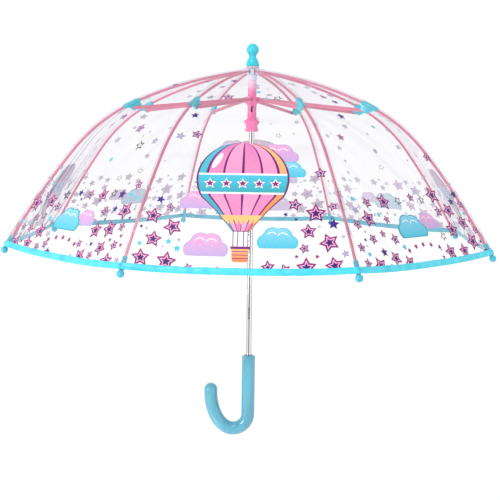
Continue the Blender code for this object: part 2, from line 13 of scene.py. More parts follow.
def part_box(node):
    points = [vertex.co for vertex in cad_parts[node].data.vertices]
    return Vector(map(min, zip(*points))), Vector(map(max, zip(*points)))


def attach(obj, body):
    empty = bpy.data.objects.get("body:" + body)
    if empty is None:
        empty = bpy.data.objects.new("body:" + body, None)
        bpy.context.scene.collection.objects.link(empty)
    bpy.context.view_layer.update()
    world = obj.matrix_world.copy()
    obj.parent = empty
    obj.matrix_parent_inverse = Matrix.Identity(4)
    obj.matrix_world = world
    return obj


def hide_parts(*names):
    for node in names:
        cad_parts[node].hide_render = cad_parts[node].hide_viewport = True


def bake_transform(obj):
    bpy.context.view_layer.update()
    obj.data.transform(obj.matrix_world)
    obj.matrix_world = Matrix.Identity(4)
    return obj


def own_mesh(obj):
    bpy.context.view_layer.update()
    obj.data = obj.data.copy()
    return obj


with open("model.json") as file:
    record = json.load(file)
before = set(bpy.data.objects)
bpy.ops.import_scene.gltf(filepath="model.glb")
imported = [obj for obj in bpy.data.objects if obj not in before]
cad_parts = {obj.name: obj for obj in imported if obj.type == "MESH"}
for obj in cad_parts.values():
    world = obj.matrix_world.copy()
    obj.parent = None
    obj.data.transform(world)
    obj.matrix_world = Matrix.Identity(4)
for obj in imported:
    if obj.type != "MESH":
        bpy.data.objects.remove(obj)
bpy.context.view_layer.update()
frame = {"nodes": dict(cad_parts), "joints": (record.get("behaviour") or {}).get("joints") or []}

# ---- Sizes from the frame, and the rib's curve ----
JOINTS = {joint["name"]: joint for joint in frame["joints"]}
RIB_COUNT = 8
RIB_TURN = 2 * pi / RIB_COUNT
FIRST_TURN = radians(-90.0) + RIB_TURN / 2


def in_plane(joint):
    """A rib joint's place as (radius, height) in its rib's plane."""
    x, y, z = JOINTS[joint]["pos_m"]
    return hypot(x, y), z


NOTCH_R, NOTCH_Z = in_plane("rib_hinge_1")
RUNNER_PIVOT_R, RUNNER_Z = in_plane("stretcher_hinge_1")
# The rib's bends: distance along it from the notch pivot, and its slope there in degrees.
RIB_BENDS = ((0.0, 7.9), (0.163, 23.3), (0.190, 29.4), (0.280, 50.8), (0.4429, 59.3))
RIB_LENGTH = RIB_BENDS[-1][0]
ROD_R = 0.0018
BRACKET_LENGTH = 0.025
BRACKET_END_GAP = 0.0022
BRACKET_PLACE = 0.1765
FLEX_PLACE = BRACKET_PLACE + BRACKET_LENGTH / 2 + BRACKET_END_GAP
LUG_DROP = 0.0070
STRETCHER_SIDE = 0.0046
HUB_BORE_R = 0.0043
FILM_OFFSET = 0.0042
FILM_END_GAP = 0.0055
CROWN_HOLE_R = 0.0090
HEM_PLACE = RIB_LENGTH - FILM_END_GAP
FILM_START = CROWN_HOLE_R - NOTCH_R
HEM_WIDTH = 0.0068


def rib_arcs():
    """Each arc of the rib as (start, slope, bend per metre, x, z), from the notch pivot out."""
    arcs = []
    x, z = NOTCH_R, NOTCH_Z
    for (start, low), (end, high) in zip(RIB_BENDS, RIB_BENDS[1:]):
        slope = radians(low)
        bend = (radians(high) - slope) / (end - start)
        arcs.append((start, slope, bend, x, z))
        x += (sin(radians(high)) - sin(slope)) / bend
        z += (cos(radians(high)) - cos(slope)) / bend
    return arcs


RIB_ARCS = rib_arcs()


def arc_at(along):
    return [arc for arc in RIB_ARCS if arc[0] <= max(along, 0.0)][-1]


def slope_of(along):
    start, slope, bend, _, _ = arc_at(along)
    return slope + bend * (along - start)


def rib_xz(along, offset=0.0):
    """(x, z) at a distance along the rib in its own plane, moved outward along its normal."""
    _, first, bend, x, z = arc_at(along)
    slope = slope_of(along)
    x += (sin(slope) - sin(first)) / bend + offset * sin(slope)
    z += (cos(slope) - cos(first)) / bend + offset * cos(slope)
    return x, z


def turn_of(rib):
    return FIRST_TURN + rib * RIB_TURN


def add_object(name, data):
    obj = bpy.data.objects.new(name, data)
    bpy.context.scene.collection.objects.link(obj)
    return obj


# ---- Camera and studio ----
def make_camera():
    """The viewing angle: slightly right of the front, a little above the rim."""
    distance = 1.3449
    height = rib_xz(RIB_LENGTH)[1] + 0.1592
    side, down, tilt = radians(2.05), radians(7.23), radians(0.79)
    data = bpy.data.cameras.new("camera")
    data.sensor_width = 36.0
    data.lens = 66.46
    data.clip_start = 0.05
    data.clip_end = 40.0
    camera = add_object("camera", data)
    camera.location = (distance * sin(side), -distance * cos(side), height)
    forward = Vector((-sin(side) * cos(down), cos(side) * cos(down), -sin(down)))
    right = Vector((cos(side), sin(side), 0.0))
    up = right.cross(forward)
    leaned_right = right * cos(tilt) + up * sin(tilt)
    leaned_up = up * cos(tilt) - right * sin(tilt)
    camera.rotation_euler = Matrix((leaned_right, leaned_up, -forward)).transposed().to_euler()
    bpy.context.scene.camera = camera


FLOOR_Z, FLOOR_REACH, FLOOR_COLOUR = -0.62, 40.0, (0.965, 0.965, 0.965, 1.0)
WALL_Y, WALL_TOP, WALL_BEND = 4.2, 9.0, 1.4
LIGHTS_AIM = Vector((0.0, 0.0, 0.25))
SUN_PLACE, SUN_POWER, SUN_ANGLE = (-0.55, -1.0, 1.05), 0.95, 50.0
WORLD_COLOUR, WORLD_STRENGTH = (0.985, 0.99, 1.0, 1.0), 0.78
# name, place, width, height, power
AREA_LIGHTS = (
    ("strip_left", (-1.5, -1.5, 0.35), 0.34, 0.9, 12.0),
    ("strip_right", (1.9, -1.1, 0.35), 0.16, 1.1, 3.0),
    ("window", (-0.5, -1.5, 2.0), 0.6, 0.4, 6.0),
    ("low_glint", (-0.45, -0.48, -0.50), 0.03, 0.03, 0.45),
)


def make_floor():
    """A pale floor that curves up into a wall behind."""
    profile = [(-FLOOR_REACH, FLOOR_Z)]
    for step in range(13):
        a = pi / 2 * step / 12
        profile.append((WALL_Y - WALL_BEND + WALL_BEND * sin(a), FLOOR_Z + WALL_BEND * (1 - cos(a))))
    profile.append((WALL_Y, WALL_TOP))
    bm = bmesh.new()
    skin(bm, [[bm.verts.new((x, y, z)) for y, z in profile] for x in (FLOOR_REACH, -FLOOR_REACH)], False)
    finish_mesh(bm, "studio_floor", "studio_white")


def make_lights():
    """A wide sun, soft area lights for the glints and an even white world."""
    bpy.context.scene.view_settings.view_transform = "Standard"
    world = bpy.data.worlds.new("studio")
    bpy.context.scene.world = world
    world.use_nodes = True
    world.node_tree.nodes["Background"].inputs["Color"].default_value = WORLD_COLOUR
    world.node_tree.nodes["Background"].inputs["Strength"].default_value = WORLD_STRENGTH
    sun = bpy.data.lights.new("daylight", "SUN")
    sun.energy = SUN_POWER
    sun.angle = radians(SUN_ANGLE)
    lights = [(sun, SUN_PLACE, False)]
    for name, place, width, height, power in AREA_LIGHTS:
        data = bpy.data.lights.new(name, "AREA")
        data.shape = "RECTANGLE"
        data.size = width
        data.size_y = height
        data.energy = power
        lights.append((data, place, True))
    for data, place, shines in lights:
        light = add_object(data.name, data)
        light.location = place
        light.rotation_euler = (LIGHTS_AIM - Vector(place)).to_track_quat("-Z", "Y").to_euler()
        light.visible_glossy = shines


# ---- Materials ----
class Paint:
    """A material under construction. Node inputs are set to values or joined to outputs."""

    def __init__(self, name):
        self.mat = bpy.data.materials.new(name)
        self.mat.use_nodes = True
        self.nodes = self.mat.node_tree.nodes
        self.shader = self.nodes["Principled BSDF"]

    def fill(self, node, inputs):
        for key, value in inputs.items():
            if isinstance(value, bpy.types.NodeSocket):
                self.mat.node_tree.links.new(value, node.inputs[key])
            else:
                node.inputs[key].default_value = value

    def add(self, kind, inputs=None, **settings):
        node = self.nodes.new("ShaderNode" + kind)
        for name, value in settings.items():
            setattr(node, name, value)
        self.fill(node, inputs or {})
        return node

    def noise(self, scale, detail, stretch=(1.0, 1.0, 1.0)):
        """A noise texture in object space, stretched along an axis."""
        place = self.add("TexCoord").outputs["Object"]
        place = self.add("Mapping", {"Vector": place, "Scale": stretch}).outputs["Vector"]
        return self.add("TexNoise", {"Vector": place, "Scale": scale, "Detail": detail}).outputs["Fac"]

    def part_of(self, output, axis):
        """One axis of a texture coordinate."""
        place = self.add("TexCoord").outputs[output]
        return self.add("SeparateXYZ", {"Vector": place}).outputs[axis]

    def stripes(self, factor, stops):
        """A colour for each factor, from stops of (place, colour)."""
        node = self.add("ValToRGB", {"Fac": factor})
        elements = node.color_ramp.elements
        for element, (place, colour) in zip(elements, (stops[0], stops[-1])):
            element.position = place
            element.color = (*colour, 1.0)
        for place, colour in stops[1:-1]:
            elements.new(place).color = (*colour, 1.0)
        return node.outputs["Color"]

    def ramp(self, factor, low, high, first=0.3, last=0.7):
        """Colour from low to high as factor goes from first to last."""
        return self.stripes(factor, ((first, low), (last, high)))

    def ranged(self, factor, low, high, first=0.3, last=0.7, **settings):
        """A value from low to high as factor goes from first to last."""
        inputs = {"Value": factor, "From Min": first, "From Max": last, "To Min": low, "To Max": high}
        return self.add("MapRange", inputs, **settings).outputs["Result"]

    def mixed(self, factor, one, two, blend="MIX"):
        inputs = {"Factor": factor, 6: one, 7: two}
        return self.add("Mix", inputs, data_type="RGBA", blend_type=blend).outputs[2]

    def bump(self, height, strength, distance):
        inputs = {"Height": height, "Strength": strength, "Distance": distance}
        return self.add("Bump", inputs).outputs["Normal"]


def plastic(name, colour, rough, coat=0.35, grain=900.0, grain_depth=0.00004, mottle=0.05, fade=None):
    """Moulded plastic: faint flow marks in the colour, uneven gloss and a fine grain.

    fade is a pale colour and the two heights between which the plastic turns to it.
    """
    paint = Paint(name)
    low = tuple(c * (1 - mottle) for c in colour)
    high = tuple(min(1.0, c * (1 + mottle) + 0.01) for c in colour)
    base = paint.ramp(paint.noise(46.0, 3.0, (1.0, 1.0, 0.35)), low, high)
    if fade:
        pale, low_z, high_z = fade
        height = paint.part_of("Object", "Z")
        share = paint.ranged(height, 0.0, 1.0, low_z, high_z, interpolation_type="SMOOTHSTEP")
        base = paint.mixed(share, base, (*pale, 1.0))
    paint.fill(paint.shader, {
        "Base Color": base,
        "Roughness": paint.ranged(paint.noise(130.0, 4.0), rough * 0.8, rough * 1.25),
        "Normal": paint.bump(paint.noise(grain, 2.0), 0.25, grain_depth),
        "Coat Weight": coat,
        "Coat Roughness": 0.08,
        "Specular IOR Level": 0.5,
    })
    return paint.mat


# Painted reflection: how bright polished steel is painted at each share of the way round its front, from -X
# to +X.
PAINTED_REFLECTION_STRIPES = (
    (0.0, 0.45), (0.07, 0.50), (0.14, 0.78), (0.43, 0.86), (0.48, 0.10),
    (0.58, 0.13), (0.63, 1.0), (0.86, 1.0), (0.93, 0.24), (1.0, 0.40),
)


def metal(name, colour, rough):
    """Drawn steel with fine lines along Z and the long dark bands of a polished tube, painted into its colour
    as painted reflection.
    """
    paint = Paint(name)
    around = paint.ranged(paint.part_of("Normal", "X"), 0.0, 1.0, -1.0, 1.0)
    stops = [(place, tuple(c * share for c in colour)) for place, share in PAINTED_REFLECTION_STRIPES]
    # The bands follow which way the surface faces: painted reflection.
    bands = paint.stripes(around, stops)
    smear = paint.noise(60.0, 3.0, (1.0, 1.0, 0.2))
    worn = paint.ramp(smear, (0.93, 0.93, 0.93), (1.0, 1.0, 1.0))
    paint.fill(paint.shader, {
        "Base Color": paint.mixed(1.0, bands, worn, "MULTIPLY"),
        "Roughness": paint.ranged(smear, rough * 0.7, rough * 1.4),
        "Normal": paint.bump(paint.noise(2600.0, 3.0, (1.0, 1.0, 0.02)), 0.10, 0.00002),
        "Metallic": 1.0,
    })
    return paint.mat


# The crease tint is a painted reflection; the milk and gloss tints colour real shaders.
CREASE_REFLECTION_TINT, MILK_TINT, GLOSS_TINT = (0.58, 0.55, 0.66, 1.0), (0.90, 0.90, 0.93, 1.0), (0.95, 0.95, 0.98, 1.0)


def film_material(name, clear, edge_on_reflection_grey, haze, crease=0.0):
    """Clear soft film: tinted see-through with a gloss; its greyer tint edge on and along its creases is
    painted reflection.
    """
    paint = Paint(name)
    paint.nodes.remove(paint.shader)
    facing = paint.add("LayerWeight", {"Blend": 0.30}).outputs["Facing"]
    # Edge on, the see-through tint turns grey: painted reflection.
    tint = paint.ramp(facing, clear, edge_on_reflection_grey, 0.30, 0.98)
    # Grey streaks and patches along the creases: painted reflection of the film's folds.
    streaks = paint.ranged(paint.noise(26.0, 5.0, (0.16, 2.2, 0.16)), -2.4 * crease, 2.2 * crease)
    patches = paint.ranged(paint.noise(7.0, 1.0, (0.5, 1.4, 0.5)), -0.5, 1.4)
    creased = paint.add("Math", {0: streaks, 1: patches}, operation="MULTIPLY", use_clamp=True)
    tint = paint.mixed(creased.outputs["Value"], tint, CREASE_REFLECTION_TINT)
    see = paint.add("BsdfTransparent", {"Color": tint})
    normal = paint.bump(paint.noise(9.0, 2.0, (1.0, 1.0, 0.45)), 0.35, 0.004)
    gloss = paint.add("BsdfGlossy", {"Roughness": 0.10, "Color": GLOSS_TINT, "Normal": normal})
    fresnel = paint.add("Fresnel", {"IOR": 1.35, "Normal": normal})
    share = paint.ranged(fresnel.outputs["Fac"], 0.012, 0.13, 0.0, 1.0)
    shine = paint.add("MixShader", {"Fac": share, 1: see.outputs["BSDF"], 2: gloss.outputs["BSDF"]})
    milk = paint.add("BsdfDiffuse", {"Color": MILK_TINT})
    film = paint.add("MixShader", {"Fac": haze, 1: shine.outputs["Shader"], 2: milk.outputs["BSDF"]})
    paint.fill(paint.nodes["Material Output"], {"Surface": film.outputs["Shader"]})
    return paint.mat


def studio_material():
    paint = Paint("studio_white")
    paint.fill(paint.shader, {"Base Color": FLOOR_COLOUR, "Roughness": 0.9, "Specular IOR Level": 0.1})
    return paint.mat


def ink_material():
    """Printed ink: the colour painted on the mesh, a little uneven, with a satin gloss."""
    paint = Paint("printed_ink")
    colour = paint.add("VertexColor", layer_name="ink").outputs["Color"]
    worn = paint.ramp(paint.noise(420.0, 3.0), (0.90, 0.90, 0.90), (1.0, 1.0, 1.0))
    base = paint.mixed(1.0, colour, worn, "MULTIPLY")
    paint.fill(paint.shader, {"Base Color": base, "Roughness": 0.38, "Specular IOR Level": 0.35})
    return paint.mat


def binding_material(name, low, high):
    """The edge band: soft vinyl tape with a faint woven backing showing through."""
    paint = Paint(name)
    paint.fill(paint.shader, {
        "Base Color": paint.ramp(paint.noise(75.0, 3.0), low, high),
        "Roughness": paint.ranged(paint.noise(160.0, 3.0), 0.28, 0.46),
        "Normal": paint.bump(paint.noise(1500.0, 1.0), 0.35, 0.00008),
        "Sheen Weight": 0.15,
        "Coat Weight": 0.15,
    })
    return paint.mat


RUNNER_FADE = ((0.88, 0.66, 0.80), RUNNER_Z + 0.006, RUNNER_Z + 0.028)
MATS = {
    # Each film paints reflection into its see-through tint: grey edge on, and grey streaks along its creases,
    # strongest on the side gores.
    "film": film_material("clear_film", (0.930, 0.925, 0.928), (0.87, 0.85, 0.89), 0.030, 0.08),
    "film_creased": film_material("creased_film", (0.928, 0.92, 0.93), (0.86, 0.84, 0.88), 0.030, 1.0),
    "seam": film_material("welded_seam", (0.92, 0.90, 0.915), (0.80, 0.76, 0.80), 0.02, 0.2),
    "tie": film_material("clear_tie", (0.94, 0.80, 0.86), (0.80, 0.62, 0.72), 0.30),
    "ink": ink_material(),
    "studio_white": studio_material(),
    "band": binding_material("edge_band", (0.026, 0.50, 0.63), (0.066, 0.66, 0.79)),
    # A darker, greyer copy of the edge band for its inward faces: painted shade.
    "band_inside": binding_material("edge_band_backing", (0.08, 0.37, 0.49), (0.12, 0.46, 0.59)),
    "tip": plastic("teal_plastic", (0.035, 0.42, 0.56), 0.20, 0.5, 900.0, 0.00002),
    "thread": plastic("cyan_thread", (0.03, 0.50, 0.62), 0.6, 0.0, 1800.0),
    "cyan": plastic("cyan_plastic", (0.016, 0.52, 0.64), 0.20, 0.60),
    "turquoise": plastic("turquoise_plastic", (0.076, 0.345, 0.465), 0.15, 1.0, 210.0, 0.00026, 0.17),
    "runner": plastic("pink_plastic", (0.90, 0.175, 0.42), 0.28, 0.35, fade=RUNNER_FADE),
    "rib": plastic("pink_coated_rod", (0.66, 0.19, 0.295), 0.36, 0.20, 1400.0, 0.00001, 0.08),
    "white": plastic("white_plastic", (0.76, 0.78, 0.92), 0.30, 0.30),
    "collar": plastic("clear_collar", (0.62, 0.50, 0.60), 0.30, 0.30),
    # Both steels carry the painted reflection bands in their colour.
    "chrome": metal("chrome_steel", (0.92, 0.92, 0.93), 0.20),
    "spring": metal("spring_steel", (0.74, 0.74, 0.75), 0.25),
}


# ---- Mesh helpers ----
UNMOVED = Matrix.Identity(4)
ALONG_X = Matrix.Rotation(pi / 2, 4, "Y")
ALONG_Y = Matrix.Rotation(pi / 2, 4, "X")
SIDEWAYS = Vector((0.0, 1.0, 0.0))


def skin(bm, rings, around=True):
    """Quads between rows of vertices. The rows are closed rings unless around is False."""
    for one, two in zip(rings, rings[1:]):
        for i in range(len(one) if around else len(one) - 1):
            j = (i + 1) % len(one)
            bm.faces.new((one[i], one[j], two[j], two[i]))


def tube(bm, rings):
    """Closed rings joined into a tube with two flat ends."""
    skin(bm, rings)
    bm.faces.new(rings[0])
    bm.faces.new(list(reversed(rings[-1])))


def finish_mesh(bm, name, material, smooth_angle=40.0):
    mesh = bpy.data.meshes.new(name)
    bmesh.ops.recalc_face_normals(bm, faces=bm.faces)
    bm.to_mesh(mesh)
    bm.free()
    mesh.shade_smooth()
    mesh.set_sharp_from_angle(angle=radians(smooth_angle))
    mesh.materials.append(MATS[material])
    return add_object(name, mesh)


def revolved(profile, steps, ripple=None):
    """A closed (radius, height) loop turned about Z; ripple(angle, height) scales the radius."""
    bm = bmesh.new()
    rings = []
    for step in range(steps):
        a = 2 * pi * step / steps
        ring = []
        for radius, height in profile:
            r = radius * (ripple(a, height) if ripple else 1.0)
            ring.append(bm.verts.new((r * cos(a), r * sin(a), height)))
        rings.append(ring)
    skin(bm, rings + rings[:1])
    bmesh.ops.remove_doubles(bm, verts=bm.verts, dist=0.000002)
    bmesh.ops.dissolve_degenerate(bm, edges=bm.edges, dist=0.000001)
    return bm


def swept(points, radii, sides):
    """A round bar along a path that lies in the XZ plane or close to it."""
    bm = bmesh.new()
    rings = []
    for i, point in enumerate(points):
        step = Vector(points[min(i + 1, len(points) - 1)]) - Vector(points[max(i - 1, 0)])
        normal = SIDEWAYS.cross(step).normalized()
        ring = []
        for side in range(sides):
            a = 2 * pi * side / sides
            ring.append(bm.verts.new(Vector(point) + radii[i] * (cos(a) * SIDEWAYS + sin(a) * normal)))
        rings.append(ring)
    tube(bm, rings)
    return bm


def moved(bm, matrix):
    bmesh.ops.transform(bm, matrix=matrix, verts=bm.verts)
    return bm


def box(low, high):
    bm = bmesh.new()
    bmesh.ops.create_cube(bm, size=1.0)
    size = Vector(high) - Vector(low)
    middle = (Vector(high) + Vector(low)) / 2
    return moved(bm, Matrix.Translation(middle) @ Matrix.Diagonal((*size, 1.0)))


def rod(middle, radius, length, segments=14, top_radius=None, turned=UNMOVED):
    """A solid rod or cone that lies along Z before it is turned."""
    bm = bmesh.new()
    bmesh.ops.create_cone(bm, cap_ends=True, segments=segments, depth=length,
                          radius1=radius, radius2=top_radius or radius)
    return moved(bm, Matrix.Translation(middle) @ turned)


def all_round(part):
    """Eight copies of a part that was built in the plane of +X, one for each rib."""
    bm = bmesh.new()
    for rib in range(RIB_COUNT):
        add_into(bm, moved(part.copy(), Matrix.Rotation(turn_of(rib), 4, "Z")))
    part.free()
    return bm


def boolean(obj, bm_tool, operation="DIFFERENCE"):
    """Cuts a bmesh out of an object's mesh, or joins it on."""
    mesh = bpy.data.meshes.new("tool")
    bm_tool.to_mesh(mesh)
    bm_tool.free()
    tool = add_object("tool", mesh)
    step = obj.modifiers.new("step", "BOOLEAN")
    step.operation = operation
    step.solver = "EXACT"
    step.object = tool
    bpy.context.view_layer.update()
    result = bpy.data.meshes.new_from_object(obj.evaluated_get(bpy.context.evaluated_depsgraph_get()))
    obj.modifiers.remove(step)
    obj.data = result
    bpy.data.objects.remove(tool)
    result.shade_smooth()
    result.set_sharp_from_angle(angle=radians(35.0))


def plate(outlines, thickness, edge):
    """A mesh of (x, z) outlines stood on edge in the XZ plane, with rounded edges."""
    curve = bpy.data.curves.new("plate", "CURVE")
    curve.dimensions = "2D"
    curve.fill_mode = "BOTH"
    curve.extrude = thickness / 2 - edge
    curve.bevel_depth = edge
    curve.offset = -edge
    curve.bevel_resolution = 2
    for outline in outlines:
        spline = curve.splines.new("POLY")
        spline.points.add(len(outline) - 1)
        spline.use_cyclic_u = True
        for number, (x, z) in enumerate(outline):
            spline.points[number].co = (x, z, 0.0, 1.0)
    obj = add_object("plate", curve)
    bpy.context.view_layer.update()
    mesh = bpy.data.meshes.new_from_object(obj.evaluated_get(bpy.context.evaluated_depsgraph_get()))
    bpy.data.objects.remove(obj)
    mesh.transform(ALONG_Y)
    bm = bmesh.new()
    bm.from_mesh(mesh)
    bmesh.ops.remove_doubles(bm, verts=bm.verts, dist=0.00001)
    bpy.data.meshes.remove(mesh)
    return bm


def add_into(bm, other):
    """Puts another bmesh into bm and frees it."""
    mesh = bpy.data.meshes.new("part")
    other.to_mesh(mesh)
    other.free()
    bm.from_mesh(mesh)
    bpy.data.meshes.remove(mesh)


def arc(middle, radius, first, last, count):
    angles = [radians(first + (last - first) * i / (count - 1)) for i in range(count)]
    return [(middle[0] + radius * cos(a), middle[1] + radius * sin(a)) for a in angles]


def oval(middle, half_x, half_y, count, lean=0.0):
    """An ellipse's outline, turned by lean."""
    points = []
    for i in range(count):
        x, y = half_x * cos(2 * pi * i / count), half_y * sin(2 * pi * i / count)
        points.append((middle[0] + x * cos(lean) - y * sin(lean), middle[1] + x * sin(lean) + y * cos(lean)))
    return points


def fitted(obj, body, node):
    """Puts a piece on its body, in the place of its CAD node."""
    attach(obj, body)
    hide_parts(node)


def spin_copies(source, kind, body, nodes):
    """Eight turned copies of a piece that was built in the plane of +X, each on its body."""
    made = []
    for rib in range(RIB_COUNT):
        mesh = source.data.copy()
        mesh.transform(Matrix.Rotation(turn_of(rib), 4, "Z"))
        obj = add_object(f"{kind}_{rib + 1}", mesh)
        if body:
            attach(obj, f"{body}_{rib + 1}")
        if nodes:
            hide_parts(*[f"{node}_{rib + 1}" for node in nodes])
        made.append(obj)
    bpy.data.objects.remove(source)
    return made


def lay_on_rib(bm, along):
    """Moves a piece that was built along X to its place along the rib."""
    x, z = rib_xz(along)
    return moved(bm, Matrix.Translation((x, 0.0, z)) @ Matrix.Rotation(slope_of(along), 4, "Y"))


# ---- Ribs and their fittings ----
PIVOT_HOLE_R = 0.0010
TIE_PLACE = 0.330


def blend_at_flex(obj):
    """Bakes the placement of a piece that runs along a rib into its mesh."""
    x, z = rib_xz(FLEX_PLACE)
    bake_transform(obj)


def make_ribs():
    """Each rib is one rod, curved along the rib's arcs from a flat eye at the notch to the ball."""
    first, last, count = 0.0060, RIB_LENGTH - 0.0030, 110
    points = []
    for i in range(count):
        x, z = rib_xz(first + (last - first) * i / (count - 1))
        points.append((x, 0.0, z))
    radii = [ROD_R * min(1.0, 0.55 + 0.15 * i) for i in range(count)]
    bm = swept(points, radii, 16)
    rim = arc((0.0, 0.0), 0.0019, 50.0, 310.0, 15) + [(0.0085, -0.0012), (0.0085, 0.0012)]
    blade = plate([rim, oval((0.0, 0.0), PIVOT_HOLE_R, PIVOT_HOLE_R, 14)], 0.0017, 0.00015)
    add_into(bm, lay_on_rib(blade, 0.0))
    source = finish_mesh(bm, "rib", "rib")
    for rib, obj in enumerate(spin_copies(source, "rib", None, ["rib_inner", "rib_outer"])):
        blend_at_flex(obj)


def make_brackets():
    """A tapered sleeve round the rib, a lug for the stretcher and two moulded ridges."""
    half, wall, bore = BRACKET_LENGTH / 2, 0.0033, 0.0021
    profile = [(0.0024, -half), (0.0029, -half + 0.0012), (wall, -half + 0.0045), (wall, half - 0.0045)]
    profile += [(0.0029, half - 0.0012), (0.0024, half), (bore, half), (bore, -half)]
    bm = revolved(profile, 32)
    for shift in (-0.0060, 0.0060):
        add_into(bm, revolved(oval((wall, shift), 0.0004, 0.0008, 8), 32))
    moved(bm, ALONG_X)
    rim = [(0.0090, -0.0024), (-0.0105, -0.0024), (-0.0112, -0.0034)]
    rim += arc((-0.0098, -0.0094), 0.0015, 170.0, 250.0, 7)
    rim += arc((0.0, -LUG_DROP), 0.0033, 250.0, 345.0, 11)
    rim += [(0.0062, -0.0040)]
    add_into(bm, moved(plate([rim], 0.0040, 0.00045), Matrix.Translation((0.0, 0.0011, 0.0))))
    lay_on_rib(bm, BRACKET_PLACE)
    spin_copies(finish_mesh(bm, "bracket_source", "cyan"), "rib_bracket", "rib_inner", ["bracket"])


def ball_profile(radius, middle, last, step):
    """Points of a ball's outline, from its top round to an angle in degrees."""
    return [(radius * sin(radians(a)), middle + radius * cos(radians(a))) for a in range(0, last, step)]


def make_tips():
    """A ball with a collar, a neck for the stitches and a sleeve that holds the rib's end."""
    profile = ball_profile(0.0047, 0.0, 145, 8)
    profile += [(0.0025, -0.0046), (0.0030, -0.0056), (0.0032, -0.0064), (0.0031, -0.0085), (0.0029, -0.0090)]
    profile += [(0.0030, -0.0096), (0.0028, -0.0205), (0.0025, -0.0213), (0.0020, -0.0215)]
    profile += [(0.0020, -0.0040), (0.0, -0.0040)]
    bm = lay_on_rib(moved(revolved(profile, 36), ALONG_X), RIB_LENGTH)
    spin_copies(finish_mesh(bm, "tip_source", "tip", 30.0), "ball_tip", "rib_outer", ["rib_tip"])


STRAND = (
    (-0.0088, 0.0026, 0.0020), (-0.0082, 0.0030, 0.0034), (-0.0084, 0.0026, 0.0046),
    (-0.0094, 0.0020, 0.0052), (-0.0104, 0.0016, 0.0046),
)


def make_threads():
    """The stitches at each tip: turns of thread in the collar's neck, and two strands to the hem."""
    thread_r, neck = 0.0003, -0.0092
    bm = bmesh.new()
    for shift in (-0.0086, neck, -0.0097):
        lean = Matrix.Rotation(pi / 2 + radians(7000.0 * (shift - neck)), 4, "Y")
        turn = revolved(oval((0.00325, 0.0), thread_r, thread_r, 6), 28)
        add_into(bm, moved(turn, Matrix.Translation((shift, 0.0, 0.0)) @ lean))
    for side in (-1, 1):
        points = [(x, side * y, z) for x, y, z in STRAND]
        add_into(bm, swept(points, [thread_r] * len(points), 8))
    lay_on_rib(bm, RIB_LENGTH)
    spin_copies(finish_mesh(bm, "thread_source", "thread"), "tip_thread", "rib_outer", [])


def make_ties():
    """Small clear loops that hold the film to each outer rib half way down it."""
    inner, outer = 0.0020, 0.0023
    profile = [(inner, -0.0022), (outer, -0.0020), (outer + 0.0002, 0.0), (outer, 0.0020), (inner, 0.0022)]
    bm = moved(revolved(profile, 28), ALONG_X)
    add_into(bm, box((-0.0018, -0.0005, 0.0021), (0.0018, 0.0005, FILM_OFFSET - 0.0001)))
    for side in (-1, 1):
        lean = Matrix.Rotation(radians(16.0) * side, 4, "X")
        add_into(bm, moved(box((-0.0009, -0.0003, -0.0048), (0.0009, 0.0003, -0.0020)), lean))
    lay_on_rib(bm, TIE_PLACE)
    spin_copies(finish_mesh(bm, "tie_source", "tie"), "rib_tie", "rib_outer", [])


def make_stretchers():
    """Pressed channel bars with round eyes, from the runner's crown to the brackets."""
    x, z = rib_xz(BRACKET_PLACE, -LUG_DROP)
    length = hypot(x - RUNNER_PIVOT_R, z - RUNNER_Z)
    fall = atan2(RUNNER_Z - z, x - RUNNER_PIVOT_R)
    eye, half = 0.0019, 0.0024
    rim = arc((0.0, 0.0), eye, 90.0, 270.0, 13) + [(0.0050, -half), (length - 0.0050, -half)]
    rim += arc((length, 0.0), eye, -90.0, 90.0, 13) + [(length - 0.0050, half), (0.0050, half)]
    holes = [oval((end, 0.0), PIVOT_HOLE_R, PIVOT_HOLE_R, 14) for end in (0.0, length)]
    bm = plate([rim, *holes], 0.0019, 0.00035)
    ridge = arc((0.0090, 0.0), 0.0007, 90.0, 270.0, 9) + arc((length - 0.0090, 0.0), 0.0007, -90.0, 90.0, 9)
    for side in (-1, 1):
        add_into(bm, moved(plate([ridge], 0.0007, 0.00030), Matrix.Translation((0.0, side * 0.00085, 0.0))))
    dome = [(0.0, 0.0007), (0.0008, 0.0005), (0.0013, 0.0), (0.0013, -0.0002), (0.0, -0.0002)]
    head = Matrix.Translation((length, 0.00105, 0.0)) @ ALONG_Y.inverted()
    add_into(bm, moved(revolved(dome, 20), head))
    moved(bm, Matrix.Translation((RUNNER_PIVOT_R, STRETCHER_SIDE, RUNNER_Z)) @ Matrix.Rotation(fall, 4, "Y"))
    source = finish_mesh(bm, "stretcher_source", "rib")
    spin_copies(source, "stretcher_bar", "stretcher", ["stretcher"])


# ---- Hubs, shaft, cap and handle ----
PIN_R = 0.00065
SLOT_HALF = 0.0013
PETALS = 8
CATCH_REACH = 0.01825


def make_notch():
    """The crown's hub, with a slot and a pin for each rib."""
    low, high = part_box("top_notch")
    crown, neck = high.x, 0.0064
    foot = NOTCH_Z - 0.0040
    profile = [(crown - 0.0008, high.z), (crown - 0.0002, high.z - 0.0003), (crown, high.z - 0.0010)]
    profile += [(crown, foot + 0.0010), (crown - 0.0003, foot + 0.0003), (crown - 0.0010, foot)]
    profile += [(neck + 0.0006, foot - 0.0002), (neck, foot - 0.0012)]
    profile += [(neck, low.z + 0.0006), (neck - 0.0005, low.z), (HUB_BORE_R, low.z), (HUB_BORE_R, high.z)]
    obj = finish_mesh(revolved(profile, 64), "notch_hub", "white")
    floor = NOTCH_R - 0.0022
    slot = box((floor, -SLOT_HALF, NOTCH_Z - 0.0052), (0.0140, SLOT_HALF, NOTCH_Z + 0.0022))
    boolean(obj, all_round(slot))
    boolean(obj, all_round(rod((NOTCH_R, 0.0, NOTCH_Z), PIN_R, 0.0036, turned=ALONG_Y)), "UNION")
    fitted(obj, "root", "top_notch")


